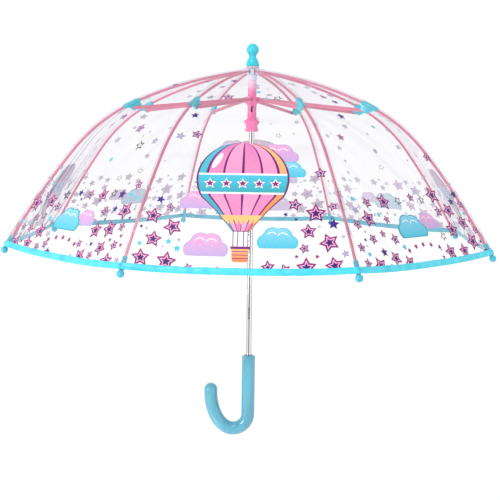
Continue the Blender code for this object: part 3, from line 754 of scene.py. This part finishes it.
def make_runner():
    """The sleeve, its slotted crown, a ringed neck and a grip with moulded petals."""
    low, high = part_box("runner")
    z, tube_r = RUNNER_Z, 0.0061
    profile = [(tube_r - 0.0006, high.z), (tube_r, high.z - 0.0008), (tube_r, z + 0.0036)]
    profile += [(tube_r + 0.0005, z + 0.0030), (0.0113, z + 0.0030), (0.0120, z + 0.0022)]
    profile += [(0.0120, z - 0.0030), (0.0112, z - 0.0046)]
    profile += [(0.0082, z - 0.0064), (tube_r + 0.0005, z - 0.0082)]
    for ring in range(3):
        top = z - 0.0195 - 0.0026 * ring
        profile += [(tube_r + 0.0003, top), (tube_r + 0.0009, top - 0.0006), (tube_r + 0.0009, top - 0.0011)]
        profile += [(tube_r + 0.0003, top - 0.0017)]
    profile += [(0.0070, z - 0.0282), (0.0094, z - 0.0292), (0.0114, z - 0.0302), (0.0118, z - 0.0312)]
    profile += [(0.0118, z - 0.0326), (0.0113, z - 0.0338), (0.0098, z - 0.0352), (0.0088, z - 0.0366)]
    profile += [(0.0085, z - 0.0380), (0.0086, z - 0.0398), (0.0091, z - 0.0416), (0.0095, z - 0.0432)]
    profile += [(0.0095, low.z + 0.0010), (0.0090, low.z), (HUB_BORE_R, low.z), (HUB_BORE_R, high.z)]

    def petals(angle, height):
        depth = z - height
        flare = max(0.0, 1.0 - abs(depth - 0.0318) / 0.0045)
        flare += 0.55 * max(0.0, 1.0 - abs(depth - 0.0460) / 0.004)
        return 1.0 - 0.10 * min(1.0, flare) * (0.5 - 0.5 * cos(PETALS * (angle - turn_of(0))))

    obj = finish_mesh(revolved(profile, 96, petals), "runner_sleeve", "runner")
    near, far = STRETCHER_SIDE - SLOT_HALF, STRETCHER_SIDE + SLOT_HALF
    floor = RUNNER_PIVOT_R - 0.0022
    boolean(obj, all_round(box((floor, near, z - 0.0033), (0.0160, far, z + 0.0060))))
    pin = rod((RUNNER_PIVOT_R, STRETCHER_SIDE, z), PIN_R, 0.0034, turned=ALONG_Y)
    boolean(obj, all_round(pin), "UNION")
    boolean(obj, box((-0.0016, -0.0100, z - 0.0183), (0.0016, -0.0010, z - 0.0097)))
    fitted(obj, "runner", "runner")


def make_shaft():
    """A thin steel tube with a slot and a pin for each catch, and the catches' spring steel."""
    low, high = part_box("shaft")
    outer, inner = 0.0040, 0.0034
    profile = [(outer - 0.0004, high.z), (outer, high.z - 0.0004), (outer, low.z + 0.0004)]
    profile += [(outer - 0.0003, low.z), (inner, low.z), (inner, high.z)]
    obj = finish_mesh(revolved(profile, 48), "shaft_tube", "chrome")
    for name, towards in (("top_catch", 1), ("bottom_catch", -1)):
        pivot = JOINTS[name + "_press"]["pos_m"][2]
        ends = sorted((pivot, pivot + towards * CATCH_REACH))
        boolean(obj, box((-0.0010, -0.0060, ends[0]), (0.0010, 0.0, ends[1])))
        boolean(obj, rod((0.0, 0.0, pivot), 0.0006, 0.0074, turned=ALONG_X), "UNION")
        catch = frame["nodes"][name]
        catch.data.materials.clear()
        catch.data.materials.append(MATS["spring"])
    fitted(obj, "root", "shaft")


def make_cap():
    """A bell-shaped foot, a narrow neck and a ball."""
    low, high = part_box("ferrule_cap")
    base, ball = high.x, 0.0091
    waist = low.z + 0.0142
    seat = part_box("shaft")[1].z + 0.0002
    profile = ball_profile(ball, high.z - ball, 139, 6)
    profile += [(0.0056, waist + 0.0012), (0.0053, waist), (0.0056, waist - 0.0012), (0.0063, waist - 0.0026)]
    profile += [(0.0073, waist - 0.0044), (0.0083, waist - 0.0064), (0.0090, waist - 0.0084)]
    profile += [(0.0095, waist - 0.0106), (base - 0.0001, low.z + 0.0018), (base, low.z + 0.0003)]
    profile += [(base - 0.0003, low.z), (HUB_BORE_R, low.z), (HUB_BORE_R, seat), (0.0, seat)]
    fitted(finish_mesh(revolved(profile, 64), "crown_cap", "cyan", 50.0), "root", "ferrule_cap")


def make_washer():
    """The clear disc that clamps the film under the cap."""
    low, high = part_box("canopy_washer")
    profile = [(high.x - 0.0004, high.z), (high.x, high.z - 0.0004), (high.x, low.z + 0.0001)]
    profile += [(high.x - 0.0002, low.z), (HUB_BORE_R, low.z), (HUB_BORE_R, high.z)]
    fitted(finish_mesh(revolved(profile, 64), "crown_washer", "collar"), "root", "canopy_washer")


def make_handle():
    """The crook: a straight grip, a quarter circle, a quarter ellipse and a round end."""
    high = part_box("handle")[1]
    radius, top = high.x, high.z
    grip, turn_r, width, rise, end, lip = 0.0900, 0.0228, 0.0330, 0.0557, 0.0035, 0.0022
    bars = [(0.0, top, radius * 0.80)]
    for a in (radians(20), radians(45), radians(70), radians(90)):
        bars.append((0.0, top - lip * (1 - cos(a)), radius * (0.80 + 0.20 * sin(a))))
    bars += [(0.0, top - lip - (grip - lip) * i / 24, radius) for i in range(1, 25)]
    for a in (pi / 2 * i / 16 for i in range(1, 17)):
        bars.append((-turn_r * (1 - cos(a)), top - grip - turn_r * sin(a), radius))
    for a in (pi / 2 * i / 28 for i in range(1, 29)):
        bars.append((-turn_r - width * sin(a), top - grip - turn_r + rise * (1 - cos(a)), radius))
    tip_z = top - grip - turn_r + rise + end
    for a in (radians(degrees) for degrees in range(0, 89, 8)):
        bars.append((-turn_r - width, tip_z + radius * sin(a), radius * cos(a)))
    bm = swept([(x, 0.0, z) for x, z, _ in bars], [r for _, _, r in bars], 48)
    obj = finish_mesh(bm, "crook_handle", "turquoise", 50.0)
    boolean(obj, rod((0.0, 0.0, top), HUB_BORE_R, 0.120, 40))
    boolean(obj, rod((0.0, 0.0, top - 0.0008), 0.0045, 0.0024, 40, 0.0066))
    fitted(obj, "root", "handle")


# ---- Canopy: flat gore coordinates ----
# A gore is a part of a cylinder, so it unrolls flat: w runs across it from its middle line,
# and h runs up its middle line from the hem.
MAP_ALONG = np.linspace(HEM_PLACE, FILM_START, 400)
MAP_XZ = np.array([rib_xz(along, FILM_OFFSET) for along in MAP_ALONG])
HALF_COS, HALF_SIN = cos(RIB_TURN / 2), sin(RIB_TURN / 2)
MAP_RISE = np.hypot(np.diff(MAP_XZ[:, 0] * HALF_COS), np.diff(MAP_XZ[:, 1]))
MAP_H = np.concatenate([[0.0], np.cumsum(MAP_RISE)])
FLEX_H = float(np.interp(-FLEX_PLACE, -MAP_ALONG, MAP_H))
TOP_H = float(MAP_H[-1])
HEM_SAG, SAG_HEIGHT = 0.0050, 0.11
SIDE_GORES = (1, 5)
PICTURE_GORES = (1, 3, 5, 7)
FILM_COLUMNS, SKIRT_ROWS, CROWN_ROWS = 8, 48, 36
SEAM_GAP, SEAM_HALF, SEAM_LIFT, SEAM_STEPS = 0.0001, 0.0023, 0.0004, 80


def along_of(h):
    return float(np.interp(h, MAP_H, MAP_ALONG))


def half_width(h):
    return float(np.interp(h, MAP_H, MAP_XZ[:, 0])) * HALF_SIN


def sag(w, h):
    """How far the film hangs below its taut line between two tips, least up by the brackets."""
    share = min(1.0, abs(w) / half_width(max(h, 0.0)))
    return HEM_SAG * (1.0 - share ** 2.6) * max(0.0, 1.0 - max(h, 0.0) / SAG_HEIGHT) ** 2


def gore_point(gore, w, h, lift=0.0):
    """A point of gore number gore, at (w, h) in its flat plane, lifted off its outer side."""
    h -= sag(w, h)
    x, z = rib_xz(along_of(max(h, 0.0)), FILM_OFFSET)
    across = Vector((x * HALF_COS, w, z))
    xa, za = rib_xz(along_of(max(h, 0.0) + 0.001), FILM_OFFSET)
    up = Vector((xa * HALF_COS - across.x, 0.0, za - z)).normalized()
    out = Vector((-up.z, 0.0, up.x))
    out = -out if out.x < 0 else out
    place = across + up * min(h, 0.0) + out * lift
    return Matrix.Rotation(turn_of(gore) + RIB_TURN / 2, 3, "Z") @ place


def quarter_name(kind, gore, side):
    return f"{kind}_{gore + 1}{'a' if side < 0 else 'b'}"


def levels_of(upper):
    """The heights between which a quarter of a gore lies, above or below the brackets."""
    return (FLEX_H, TOP_H) if upper else (0.0, FLEX_H)


def fold_away(obj, gore, side, upper):
    """Rides a half gore's piece on its rib, on a mesh of its own."""
    rib = gore if side < 0 else (gore + 1) % RIB_COUNT
    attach(obj, f"{'rib_inner' if upper else 'rib_outer'}_{rib + 1}")
    middle = sum(levels_of(upper)) / 2
    edge = gore_point(gore, side * half_width(middle), middle)
    across = (gore_point(gore, 0.0, middle) - edge).normalized()
    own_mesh(obj)
    return rib


def point_outward(obj):
    """Turns an open sheet's faces away from the shaft."""
    mesh = obj.data
    face = mesh.polygons[len(mesh.polygons) // 2]
    if face.normal.dot(Vector((face.center.x, face.center.y, 0.15))) < 0:
        mesh.flip_normals()


def make_film(gore, side, upper):
    """One quarter of a gore: half its width, above or below the brackets."""
    low_h, high_h = levels_of(upper)
    rows = CROWN_ROWS if upper else SKIRT_ROWS
    bm = bmesh.new()
    grid = []
    for i in range(rows + 1):
        h = low_h + (high_h - low_h) * i / rows
        edge = side * (half_width(h) - SEAM_GAP)
        places = [gore_point(gore, edge * j / FILM_COLUMNS, h) for j in range(FILM_COLUMNS + 1)]
        grid.append([bm.verts.new(place) for place in places])
    skin(bm, grid, False)
    area = sum(face.calc_area() for face in bm.faces)
    name = quarter_name("film_crown" if upper else "film_skirt", gore, side)
    # The side gores take the film with strong painted crease reflections.
    obj = finish_mesh(bm, name, "film_creased" if gore in SIDE_GORES else "film")
    point_outward(obj)
    rib = fold_away(obj, gore, side, upper)
    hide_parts(f"gore_{gore + 1}")


def make_seams():
    """A narrow welded strip over each rib, where two gores meet."""
    bm = bmesh.new()
    rows = []
    for i in range(SEAM_STEPS):
        along = FILM_START + (HEM_PLACE - 0.003 - FILM_START) * i / (SEAM_STEPS - 1)
        x, z = rib_xz(along, FILM_OFFSET + SEAM_LIFT)
        width = min(SEAM_HALF, x * 0.30)
        drop = width * HALF_SIN
        places = ((x - drop, -width, z), (x, 0.0, z), (x - drop, width, z))
        rows.append([bm.verts.new(place) for place in places])
    skin(bm, rows, False)
    source = finish_mesh(bm, "seam_source", "seam", 60.0)
    point_outward(source)
    for rib, obj in enumerate(spin_copies(source, "seam", None, [])):
        blend_at_flex(obj)


HEM_STEPS = 40
HEM_TAPE = 0.00085
# Half the tape's thickness at shares of its width up from the film's edge.
HEM_SIDE = ((0.00080, 0.55), (0.00062, 0.80), (0.00072, 0.93), (0.00030, 1.0))


def make_hem(gore, side):
    """Half a gore's edge band: tape folded over the film's edge, slightly puckered, with a darker copy of its
    colour on the faces turned inward as painted shade.
    """
    section = [(-HEM_TAPE, 0.0)]
    for a in (radians(degrees) for degrees in range(-60, 61, 30)):
        section.append((HEM_TAPE * sin(a), HEM_TAPE * (1 - cos(a)) - 0.0012))
    section += [(HEM_TAPE, 0.0)]
    section += [(thick, HEM_WIDTH * share) for thick, share in HEM_SIDE]
    section += [(-thick, HEM_WIDTH * share) for thick, share in reversed(HEM_SIDE)]
    bm = bmesh.new()
    rings = []
    for i in range(HEM_STEPS + 1):
        share = i / HEM_STEPS
        pucker = (0.00030 * sin(share * 2 * pi * 7.0 + gore) + 0.00016 * sin(share * 61.0)) * sin(share * pi)
        wave = 0.00022 * sin(share * 23.0 + 2.0 * gore) * sin(share * pi)
        ring = []
        for lift, h in section:
            w = side * (half_width(max(h, 0.0)) - SEAM_GAP) * share
            place = gore_point(gore, w, h + wave * (h / HEM_WIDTH) - 0.0002, lift + pucker)
            ring.append(bm.verts.new(place))
        rings.append(ring)
    tube(bm, rings)
    obj = finish_mesh(bm, quarter_name("edge_band", gore, side), "band", 60.0)
    obj.data.materials.append(MATS["band_inside"])
    turned = turn_of(gore) + RIB_TURN / 2
    outward = Vector((cos(turned), sin(turned), 0.4))
    # Faces turned inward take the darker copy of the band: painted shade.
    for face in obj.data.polygons:
        face.material_index = int(face.normal.dot(outward) < -0.3)
    fold_away(obj, gore, side, False)


# ---- Printed pattern ----
INK = {
    "magenta": (0.34, 0.006, 0.15),
    "purple": (0.16, 0.006, 0.14),
    "blush": (0.78, 0.36, 0.60),
    "shell": (0.93, 0.70, 0.86),
    "orchid": (0.52, 0.08, 0.34),
    "navy": (0.022, 0.010, 0.13),
    "indigo": (0.045, 0.012, 0.20),
    "black": (0.020, 0.014, 0.035),
    "lilac": (0.36, 0.30, 0.50),
    "grey": (0.42, 0.42, 0.50),
    "cyan": (0.07, 0.50, 0.66),
    "teal": (0.03, 0.36, 0.42),
    "sky": (0.24, 0.60, 0.78),
    "pink": (0.70, 0.20, 0.44),
    "rose": (0.82, 0.34, 0.56),
    "white": (0.86, 0.82, 0.90),
    "orange": (0.80, 0.20, 0.05),
    "peach": (0.86, 0.48, 0.22),
    "gold": (0.80, 0.58, 0.08),
    "mauve": (0.50, 0.36, 0.66),
}
FRONT_LIFT, FRONT_STEP = 0.00048, 0.00005
BACK_LIFT, BACK_STEP = 0.00042, 0.00003
BACK_FADE, BACK_PAPER = 0.55, (0.84, 0.85, 0.96)
CUT_STEP = 0.005
FOOT_CUT = HEM_WIDTH * 0.96


class Print:
    """One gore's flat coloured shapes, each kept as (outline, low colour, high colour, layer)."""

    def __init__(self):
        self.shapes = []

    def add(self, points, colour, layer, second=None):
        """A filled outline. With a second colour, it fades to it from bottom to top."""
        self.shapes.append((points, INK[colour], INK[second or colour], layer))

    def star(self, place, radius, turn, colour, layer, second=None, share=0.46):
        self.add(star_points(place, radius, turn, share), colour, layer, second)

    def ring_star(self, place, radius, turn, colour, line):
        """A star's outline as ten quads, with the film clear inside it."""
        outer = star_points(place, radius, turn, 0.46)
        inner = star_points(place, radius * line, turn, 0.46)
        for i in range(10):
            j = (i + 1) % 10
            self.add([outer[i], outer[j], inner[j], inner[i]], colour, 0)

    def block(self, low_w, low_h, high_w, high_h, colour, layer, second=None):
        corners = [(low_w, low_h), (high_w, low_h), (high_w, high_h), (low_w, high_h)]
        self.add(corners, colour, layer, second)


def star_points(place, radius, turn, share):
    """Five points at radius, and five hollows at a share of it."""
    points = []
    for i in range(10):
        a = turn + pi / 2 + pi * i / 5
        r = radius if i % 2 == 0 else radius * share
        points.append((place[0] + r * cos(a), place[1] + r * sin(a)))
    return points


# The stacked stars of a kind: share of its radius, colour, second colour, share at the hollows.
STAR_STACKS = {
    "fancy": (
        (1.0, "purple", "magenta", 0.52),
        (0.68, "shell", None, 0.45),
        (0.54, "magenta", "orchid", 0.47),
        (0.38, "navy", None, 0.46),
    ),
    "badge": ((1.0, "purple", "magenta", 0.52), (0.60, "shell", None, 0.44), (0.40, "navy", None, 0.46)),
    "lilac": ((1.0, "lilac", None, 0.46), (0.45, "grey", None, 0.46)),
}
OUTLINE_SHARE = 0.62
# kind, how many, smallest and largest radius, how far up the dense band reaches
STAR_KINDS = (
    ("fancy", 12, 0.0098, 0.0136, 0.028),
    ("badge", 14, 0.0058, 0.0088, 0.034),
    ("indigo", 5, 0.0056, 0.0074, 0.042),
    ("outline", 6, 0.0062, 0.0078, 0.040),
    ("cyan", 6, 0.0038, 0.0052, 0.045),
    ("lilac", 6, 0.0048, 0.0070, 0.060),
    ("magenta", 3, 0.0028, 0.0036, 0.045),
    ("navy", 5, 0.0026, 0.0038, 0.070),
    ("grey", 9, 0.0018, 0.0032, 0.075),
)
STAR_SIZES = {kind: (small, large) for kind, _, small, large, _ in STAR_KINDS}
HIGH_STARS = (("badge", 3), ("indigo", 2), ("lilac", 3), ("grey", 4), ("outline", 1), ("cyan", 1))
DENSE_LOW, DENSE_TOP, HIGH_TOP = HEM_WIDTH - 0.002, 0.092, 0.330
FOLD_ROOM, EDGE_ROOM, STAR_ROOM, LEAST_ROOM = 0.003, 0.0045, 0.0012, 0.004
STAR_TRIES, STAR_SEED, STAR_LEAN = 60, 400, 0.45


def add_star(pattern, kind, place, radius, turn):
    if kind == "outline":
        pattern.ring_star(place, radius, turn, "black", OUTLINE_SHARE)
        return
    for layer, (size, colour, second, share) in enumerate(STAR_STACKS.get(kind, ((1.0, kind, None, 0.46),))):
        pattern.star(place, radius * size, turn, colour, layer, second, share)


def scatter_stars(pattern, gore, taken):
    """Stars crowd above the hem and thin out towards the crown, and none overlap."""
    draw = random.Random(STAR_SEED + gore)

    def try_place(kind, low, high, reach=None):
        for _ in range(STAR_TRIES):
            radius = draw.uniform(*STAR_SIZES[kind])
            h = draw.expovariate(1.0 / reach) if reach else draw.uniform(low, high)
            h += radius * 0.35
            if not low <= h <= high or abs(h - FLEX_H) < radius + FOLD_ROOM:
                continue
            room = half_width(h) - radius * 0.9 - EDGE_ROOM
            if room <= LEAST_ROOM:
                continue
            w = draw.uniform(-room, room)
            if all(hypot(w - a, h - b) > radius + r + STAR_ROOM for a, b, r in taken):
                taken.append((w, h, radius))
                add_star(pattern, kind, (w, h), radius, draw.uniform(-STAR_LEAN, STAR_LEAN))
                return

    for kind, count, _, _, reach in STAR_KINDS:
        for _ in range(count):
            try_place(kind, DENSE_LOW, DENSE_TOP, reach)
    for kind, count in HIGH_STARS:
        for _ in range(count):
            try_place(kind, DENSE_TOP, HIGH_TOP)


# Each puff as (x, y, radius) in shares of the cloud's size, with the end ones first and fourth.
CLOUD_PUFFS = (
    (-0.52, -0.05, 0.34), (-0.20, 0.22, 0.40), (0.22, 0.16, 0.44), (0.58, -0.06, 0.30), (0.0, -0.12, 0.40),
)
CLOUD_CURLS = ((-0.24, 0.20, 0.24), (0.24, 0.14, 0.27))
CLOUD_BASE = -0.31
CLOUD_STEPS = 30


def cloud(w, h, size):
    """A cloud's outline: five round puffs over a flat base."""
    left = min(x - r for x, _, r in CLOUD_PUFFS)
    right = max(x + r for x, _, r in CLOUD_PUFFS)
    top, base = [], []
    for i in range(1, CLOUD_STEPS):
        place = (left + right) / 2 - (right - left) / 2 * cos(pi * i / CLOUD_STEPS)
        halves = [(y, sqrt(r * r - (place - x) ** 2)) for x, y, r in CLOUD_PUFFS if abs(place - x) < r]
        top.append((w + size * place, h + size * max(y + half for y, half in halves)))
        level = CLOUD_PUFFS[0][0] < place < CLOUD_PUFFS[3][0]
        low = CLOUD_BASE if level else max(CLOUD_BASE, min(y - half for y, half in halves))
        base.append((w + size * place, h + size * low))
    return base + top[::-1]


def puffy(pattern, w, h, size, rim, low_ink, high_ink, layer=0):
    """A cloud with a darker outline and two pale curls."""
    pattern.add(cloud(w, h, size * 1.06), rim, layer)
    pattern.add(cloud(w, h + size * 0.01, size * 0.97), low_ink, layer + 1, high_ink)
    for x, y, r in CLOUD_CURLS:
        curl = []
        for first, last, wide, tall in ((0.5, 2.7, 1.0, 1.0), (2.5, 0.7, 0.80, 0.84)):
            for a in np.linspace(first, last, 12):
                curl.append((w + size * (x + r * wide * cos(a)), h + size * (y + r * tall * sin(a))))
        pattern.add(curl, "white", layer + 2)


def small_clouds(pattern):
    """The picture of every second gore: two drifting clouds over an arc of small stars."""
    puffy(pattern, 0.024, 0.052, 0.021, "mauve", "mauve", "blush")
    puffy(pattern, -0.012, 0.046, 0.030, "teal", "cyan", "sky", 3)
    for i in range(5):
        w = -0.034 + 0.015 * i
        pattern.star((w, 0.0265 - 6.0 * (w + 0.004) ** 2), 0.0040, 0.2 * i, "magenta", 0, "purple")


PICTURE_SCALE, SIDE_PICTURE_SCALE = 1.16, 0.84
PICTURE_FOOT = HEM_WIDTH - 0.004
BALLOON_LAYER = 7
BALLOON_R, BALLOON_MIDDLE = 0.0450, 0.0980
BALLOON_TOP = BALLOON_MIDDLE + BALLOON_R - 0.0002
MOUTH_H, MOUTH_HALF = 0.0400, 0.0085
BELT_LOW, BELT_HIGH, BELT_EDGE = BALLOON_MIDDLE - 0.016, BALLOON_MIDDLE + 0.004, 0.0022
SKIRT_H = MOUTH_H + 0.0125
BASKET_TOP, BASKET_LOW, ROPE_R = 0.0225, 0.0090, 0.0004
# Room that stars leave round each picture, as (w, h, radius).
BALLOON_ROOM = (
    (0.0, 0.020, 0.022), (0.0, 0.045, 0.026), (0.0, 0.075, 0.042), (0.0, 0.095, 0.049),
    (0.0, 0.108, 0.047), (-0.034, 0.028, 0.022), (0.036, 0.036, 0.020),
    (0.040, 0.130, 0.026), (0.050, 0.112, 0.020), (-0.046, 0.076, 0.018),
)
CLOUDS_ROOM = ((-0.024, 0.050, 0.020), (0.0, 0.050, 0.022), (0.026, 0.056, 0.020), (0.0, 0.026, 0.024))


def balloon_edge(h):
    """Half the balloon's width at a height: a circle above, drawn in to the mouth below."""
    join = BALLOON_MIDDLE - BALLOON_R * 0.50
    if h >= join:
        return sqrt(max(0.0, BALLOON_R ** 2 - (h - BALLOON_MIDDLE) ** 2))
    top = sqrt(BALLOON_R ** 2 - (join - BALLOON_MIDDLE) ** 2)
    share = (join - h) / (join - MOUTH_H)
    return top + (MOUTH_HALF - top) * (share ** 0.86)


def balloon_slice(first, last, low=MOUTH_H, high=BALLOON_TOP, steps=22):
    """The part of the balloon between two shares of its half width and two heights."""
    heights = [low + (high - low) * i / steps for i in range(steps + 1)]
    right = [(balloon_edge(h) * last, h) for h in heights]
    left = [(balloon_edge(h) * first, h) for h in reversed(heights)]
    return right + left


def envelope(picture):
    """The balloon itself: striped panels, a starred belt, a toothed skirt and a highlight."""
    picture.add(balloon_slice(-1.045, 1.045, MOUTH_H - 0.0006, steps=30), "purple", BALLOON_LAYER - 1)
    panels = [(-1.0, -0.80, "teal", "cyan"), (-0.80, -0.44, "rose", "pink"), (-0.44, 0.0, "pink", "rose")]
    panels += [(0.0, 0.44, "rose", "pink"), (0.44, 0.80, "pink", "rose"), (0.80, 1.0, "orange", "peach")]
    for first, last, low_ink, high_ink in panels:
        picture.add(balloon_slice(first, last), low_ink, BALLOON_LAYER, high_ink)
    for first, last in ((-0.84, -0.78), (-0.46, -0.41), (-0.03, 0.03), (0.41, 0.46), (0.78, 0.84)):
        picture.add(balloon_slice(first, last), "purple", BALLOON_LAYER + 1)
    picture.add(balloon_slice(-1.0, 1.0, BELT_LOW, BELT_HIGH, 8), "teal", BALLOON_LAYER + 2, "cyan")
    for low in (BELT_LOW - BELT_EDGE, BELT_HIGH):
        picture.add(balloon_slice(-1.0, 1.0, low, low + BELT_EDGE, 3), "white", BALLOON_LAYER + 2)
    for i in range(5):
        place = ((i - 2) * 0.0165, (BELT_LOW + BELT_HIGH) / 2)
        picture.star(place, 0.0066, 0.0, "white", BALLOON_LAYER + 3)
        picture.star(place, 0.0042, 0.0, "magenta", BALLOON_LAYER + 4, "purple")
    for i in range(7):
        first, last = -1.0 + 2.0 * i / 7, -1.0 + 2.0 * (i + 1) / 7
        corners = ((first, SKIRT_H), ((first + last) / 2, SKIRT_H - 0.006), (last, SKIRT_H))
        corners += ((last, SKIRT_H + 0.004), (first, SKIRT_H + 0.004))
        tooth = [(balloon_edge(h) * share, h) for share, h in corners]
        picture.add(tooth, "gold", BALLOON_LAYER + 2, "peach")
    shine = oval((-0.0265, BALLOON_MIDDLE + 0.0215), 0.0030, 0.0105, 19, radians(-28.0))
    picture.add(shine, "white", BALLOON_LAYER + 3)


def basket(picture):
    """The ropes, the tub with its rim, and three bands of wicker."""
    for side in (-1, 1):
        for top, foot in ((0.0075, 0.0072), (0.0028, 0.0030)):
            a, b = side * top, side * foot
            rope = [(a - ROPE_R, MOUTH_H), (a + ROPE_R, MOUTH_H)]
            rope += [(b + ROPE_R, BASKET_TOP), (b - ROPE_R, BASKET_TOP)]
            picture.add(rope, "purple", 1)
    half = [(0.0066, BASKET_LOW), (0.0078, BASKET_LOW + 0.0016), (0.0090, BASKET_TOP)]
    tub = half + [(-w, h) for w, h in reversed(half)]
    picture.add(tub, "orange", 2, "peach")
    picture.block(-0.0096, BASKET_TOP - 0.0008, 0.0096, BASKET_TOP + 0.0016, "purple", 3)
    for i in range(3):
        level = BASKET_LOW + 0.0030 + 0.0034 * i
        picture.block(-0.0080, level, 0.0080, level + 0.0008, "magenta", 3)


def balloon(pattern, scale):
    """A striped hot-air balloon among clouds, on the gore's middle line."""
    picture = Print()
    puffy(picture, 0.034, 0.126, 0.024, "mauve", "mauve", "blush")
    puffy(picture, 0.046, 0.107, 0.019, "cyan", "cyan", "sky", 3)
    puffy(picture, -0.044, 0.070, 0.020, "mauve", "mauve", "blush")
    envelope(picture)
    basket(picture)
    puffy(picture, -0.034, 0.022, 0.024, "mauve", "mauve", "blush")
    puffy(picture, 0.036, 0.030, 0.022, "cyan", "cyan", "sky")
    for points, low_ink, high_ink, layer in picture.shapes:
        placed = [(x * scale, y * scale + PICTURE_FOOT) for x, y in points]
        pattern.shapes.append((placed, low_ink, high_ink, layer))


def cut(bm, across, level, drop_below=False):
    """Cuts a flat mesh across h at a level, or along the gore's middle line."""
    normal = Vector((0.0, 1.0, 0.0)) if across else Vector((1.0, 0.0, 0.0))
    everything = bm.verts[:] + bm.edges[:] + bm.faces[:]
    bmesh.ops.bisect_plane(bm, geom=everything, dist=0.000001, plane_co=normal * level, plane_no=normal,
                           clear_inner=drop_below)


def print_mesh(pattern):
    """The gore's shapes as a flat mesh, cut where it bends and where its pieces part."""
    bm = bmesh.new()
    paint = bm.loops.layers.float_color.new("ink")
    lift = bm.verts.layers.float.new("lift")
    for points, low_ink, high_ink, layer in pattern.shapes:
        low = min(p[1] for p in points)
        tall = max(p[1] for p in points) - low
        for front in (True, False):
            verts = [bm.verts.new((x, y, 0.0)) for x, y in points]
            for vert in verts:
                vert[lift] = FRONT_LIFT + FRONT_STEP * layer if front else BACK_LIFT - BACK_STEP * layer
            face = bm.faces.new(verts)
            face.normal_update()
            if (face.normal.z > 0) != front:
                face.normal_flip()
            for loop in face.loops:
                share = (loop.vert.co.y - low) / tall
                colour = [a + (b - a) * share for a, b in zip(low_ink, high_ink)]
                if not front:
                    colour = [c + (p - c) * BACK_FADE for c, p in zip(colour, BACK_PAPER)]
                loop[paint] = (*colour, 1.0)
    bmesh.ops.triangulate(bm, faces=[f for f in bm.faces if len(f.verts) > 4])
    cut(bm, True, FOOT_CUT, True)
    for step in range(1, int(TOP_H / CUT_STEP)):
        cut(bm, True, step * CUT_STEP)
    cut(bm, True, FLEX_H)
    cut(bm, False, 0.0)
    return bm, lift


def make_prints(gore):
    """A gore's picture and stars, as a printed piece on each quarter of its film."""
    pattern = Print()
    if gore in PICTURE_GORES:
        scale = SIDE_PICTURE_SCALE if gore in SIDE_GORES else PICTURE_SCALE
        balloon(pattern, scale)
        taken = [tuple(scale * v for v in circle) for circle in BALLOON_ROOM]
    else:
        small_clouds(pattern)
        taken = list(CLOUDS_ROOM)
    scatter_stars(pattern, gore, taken)
    bm, lift = print_mesh(pattern)
    quarters = {}
    for face in bm.faces:
        centre = face.calc_center_median()
        key = (-1 if centre.x < 0 else 1, centre.y > FLEX_H)
        quarters.setdefault(key, set()).add(face.index)
    for vert in bm.verts:
        vert.co = gore_point(gore, vert.co.x, vert.co.y, vert[lift])
    flat = bpy.data.meshes.new("flat")
    bm.to_mesh(flat)
    bm.free()
    for (side, upper), wanted in sorted(quarters.items(), key=lambda item: item[0]):
        part = bmesh.new()
        part.from_mesh(flat)
        bmesh.ops.delete(part, geom=[f for f in part.faces if f.index not in wanted], context="FACES")
        name = quarter_name("print_crown" if upper else "print_skirt", gore, side)
        mesh = bpy.data.meshes.new(name)
        part.to_mesh(mesh)
        part.free()
        mesh.materials.append(MATS["ink"])
        obj = add_object(name, mesh)
        fold_away(obj, gore, side, upper)
    bpy.data.meshes.remove(flat)


# ---- Build ----
make_camera()
make_floor()
make_lights()
make_ribs()
make_brackets()
make_tips()
make_threads()
make_ties()
make_stretchers()
make_notch()
make_runner()
make_shaft()
make_cap()
make_washer()
make_handle()
make_seams()
for gore in range(RIB_COUNT):
    for side in (-1, 1):
        make_film(gore, side, False)
        make_film(gore, side, True)
        make_hem(gore, side)
    make_prints(gore)
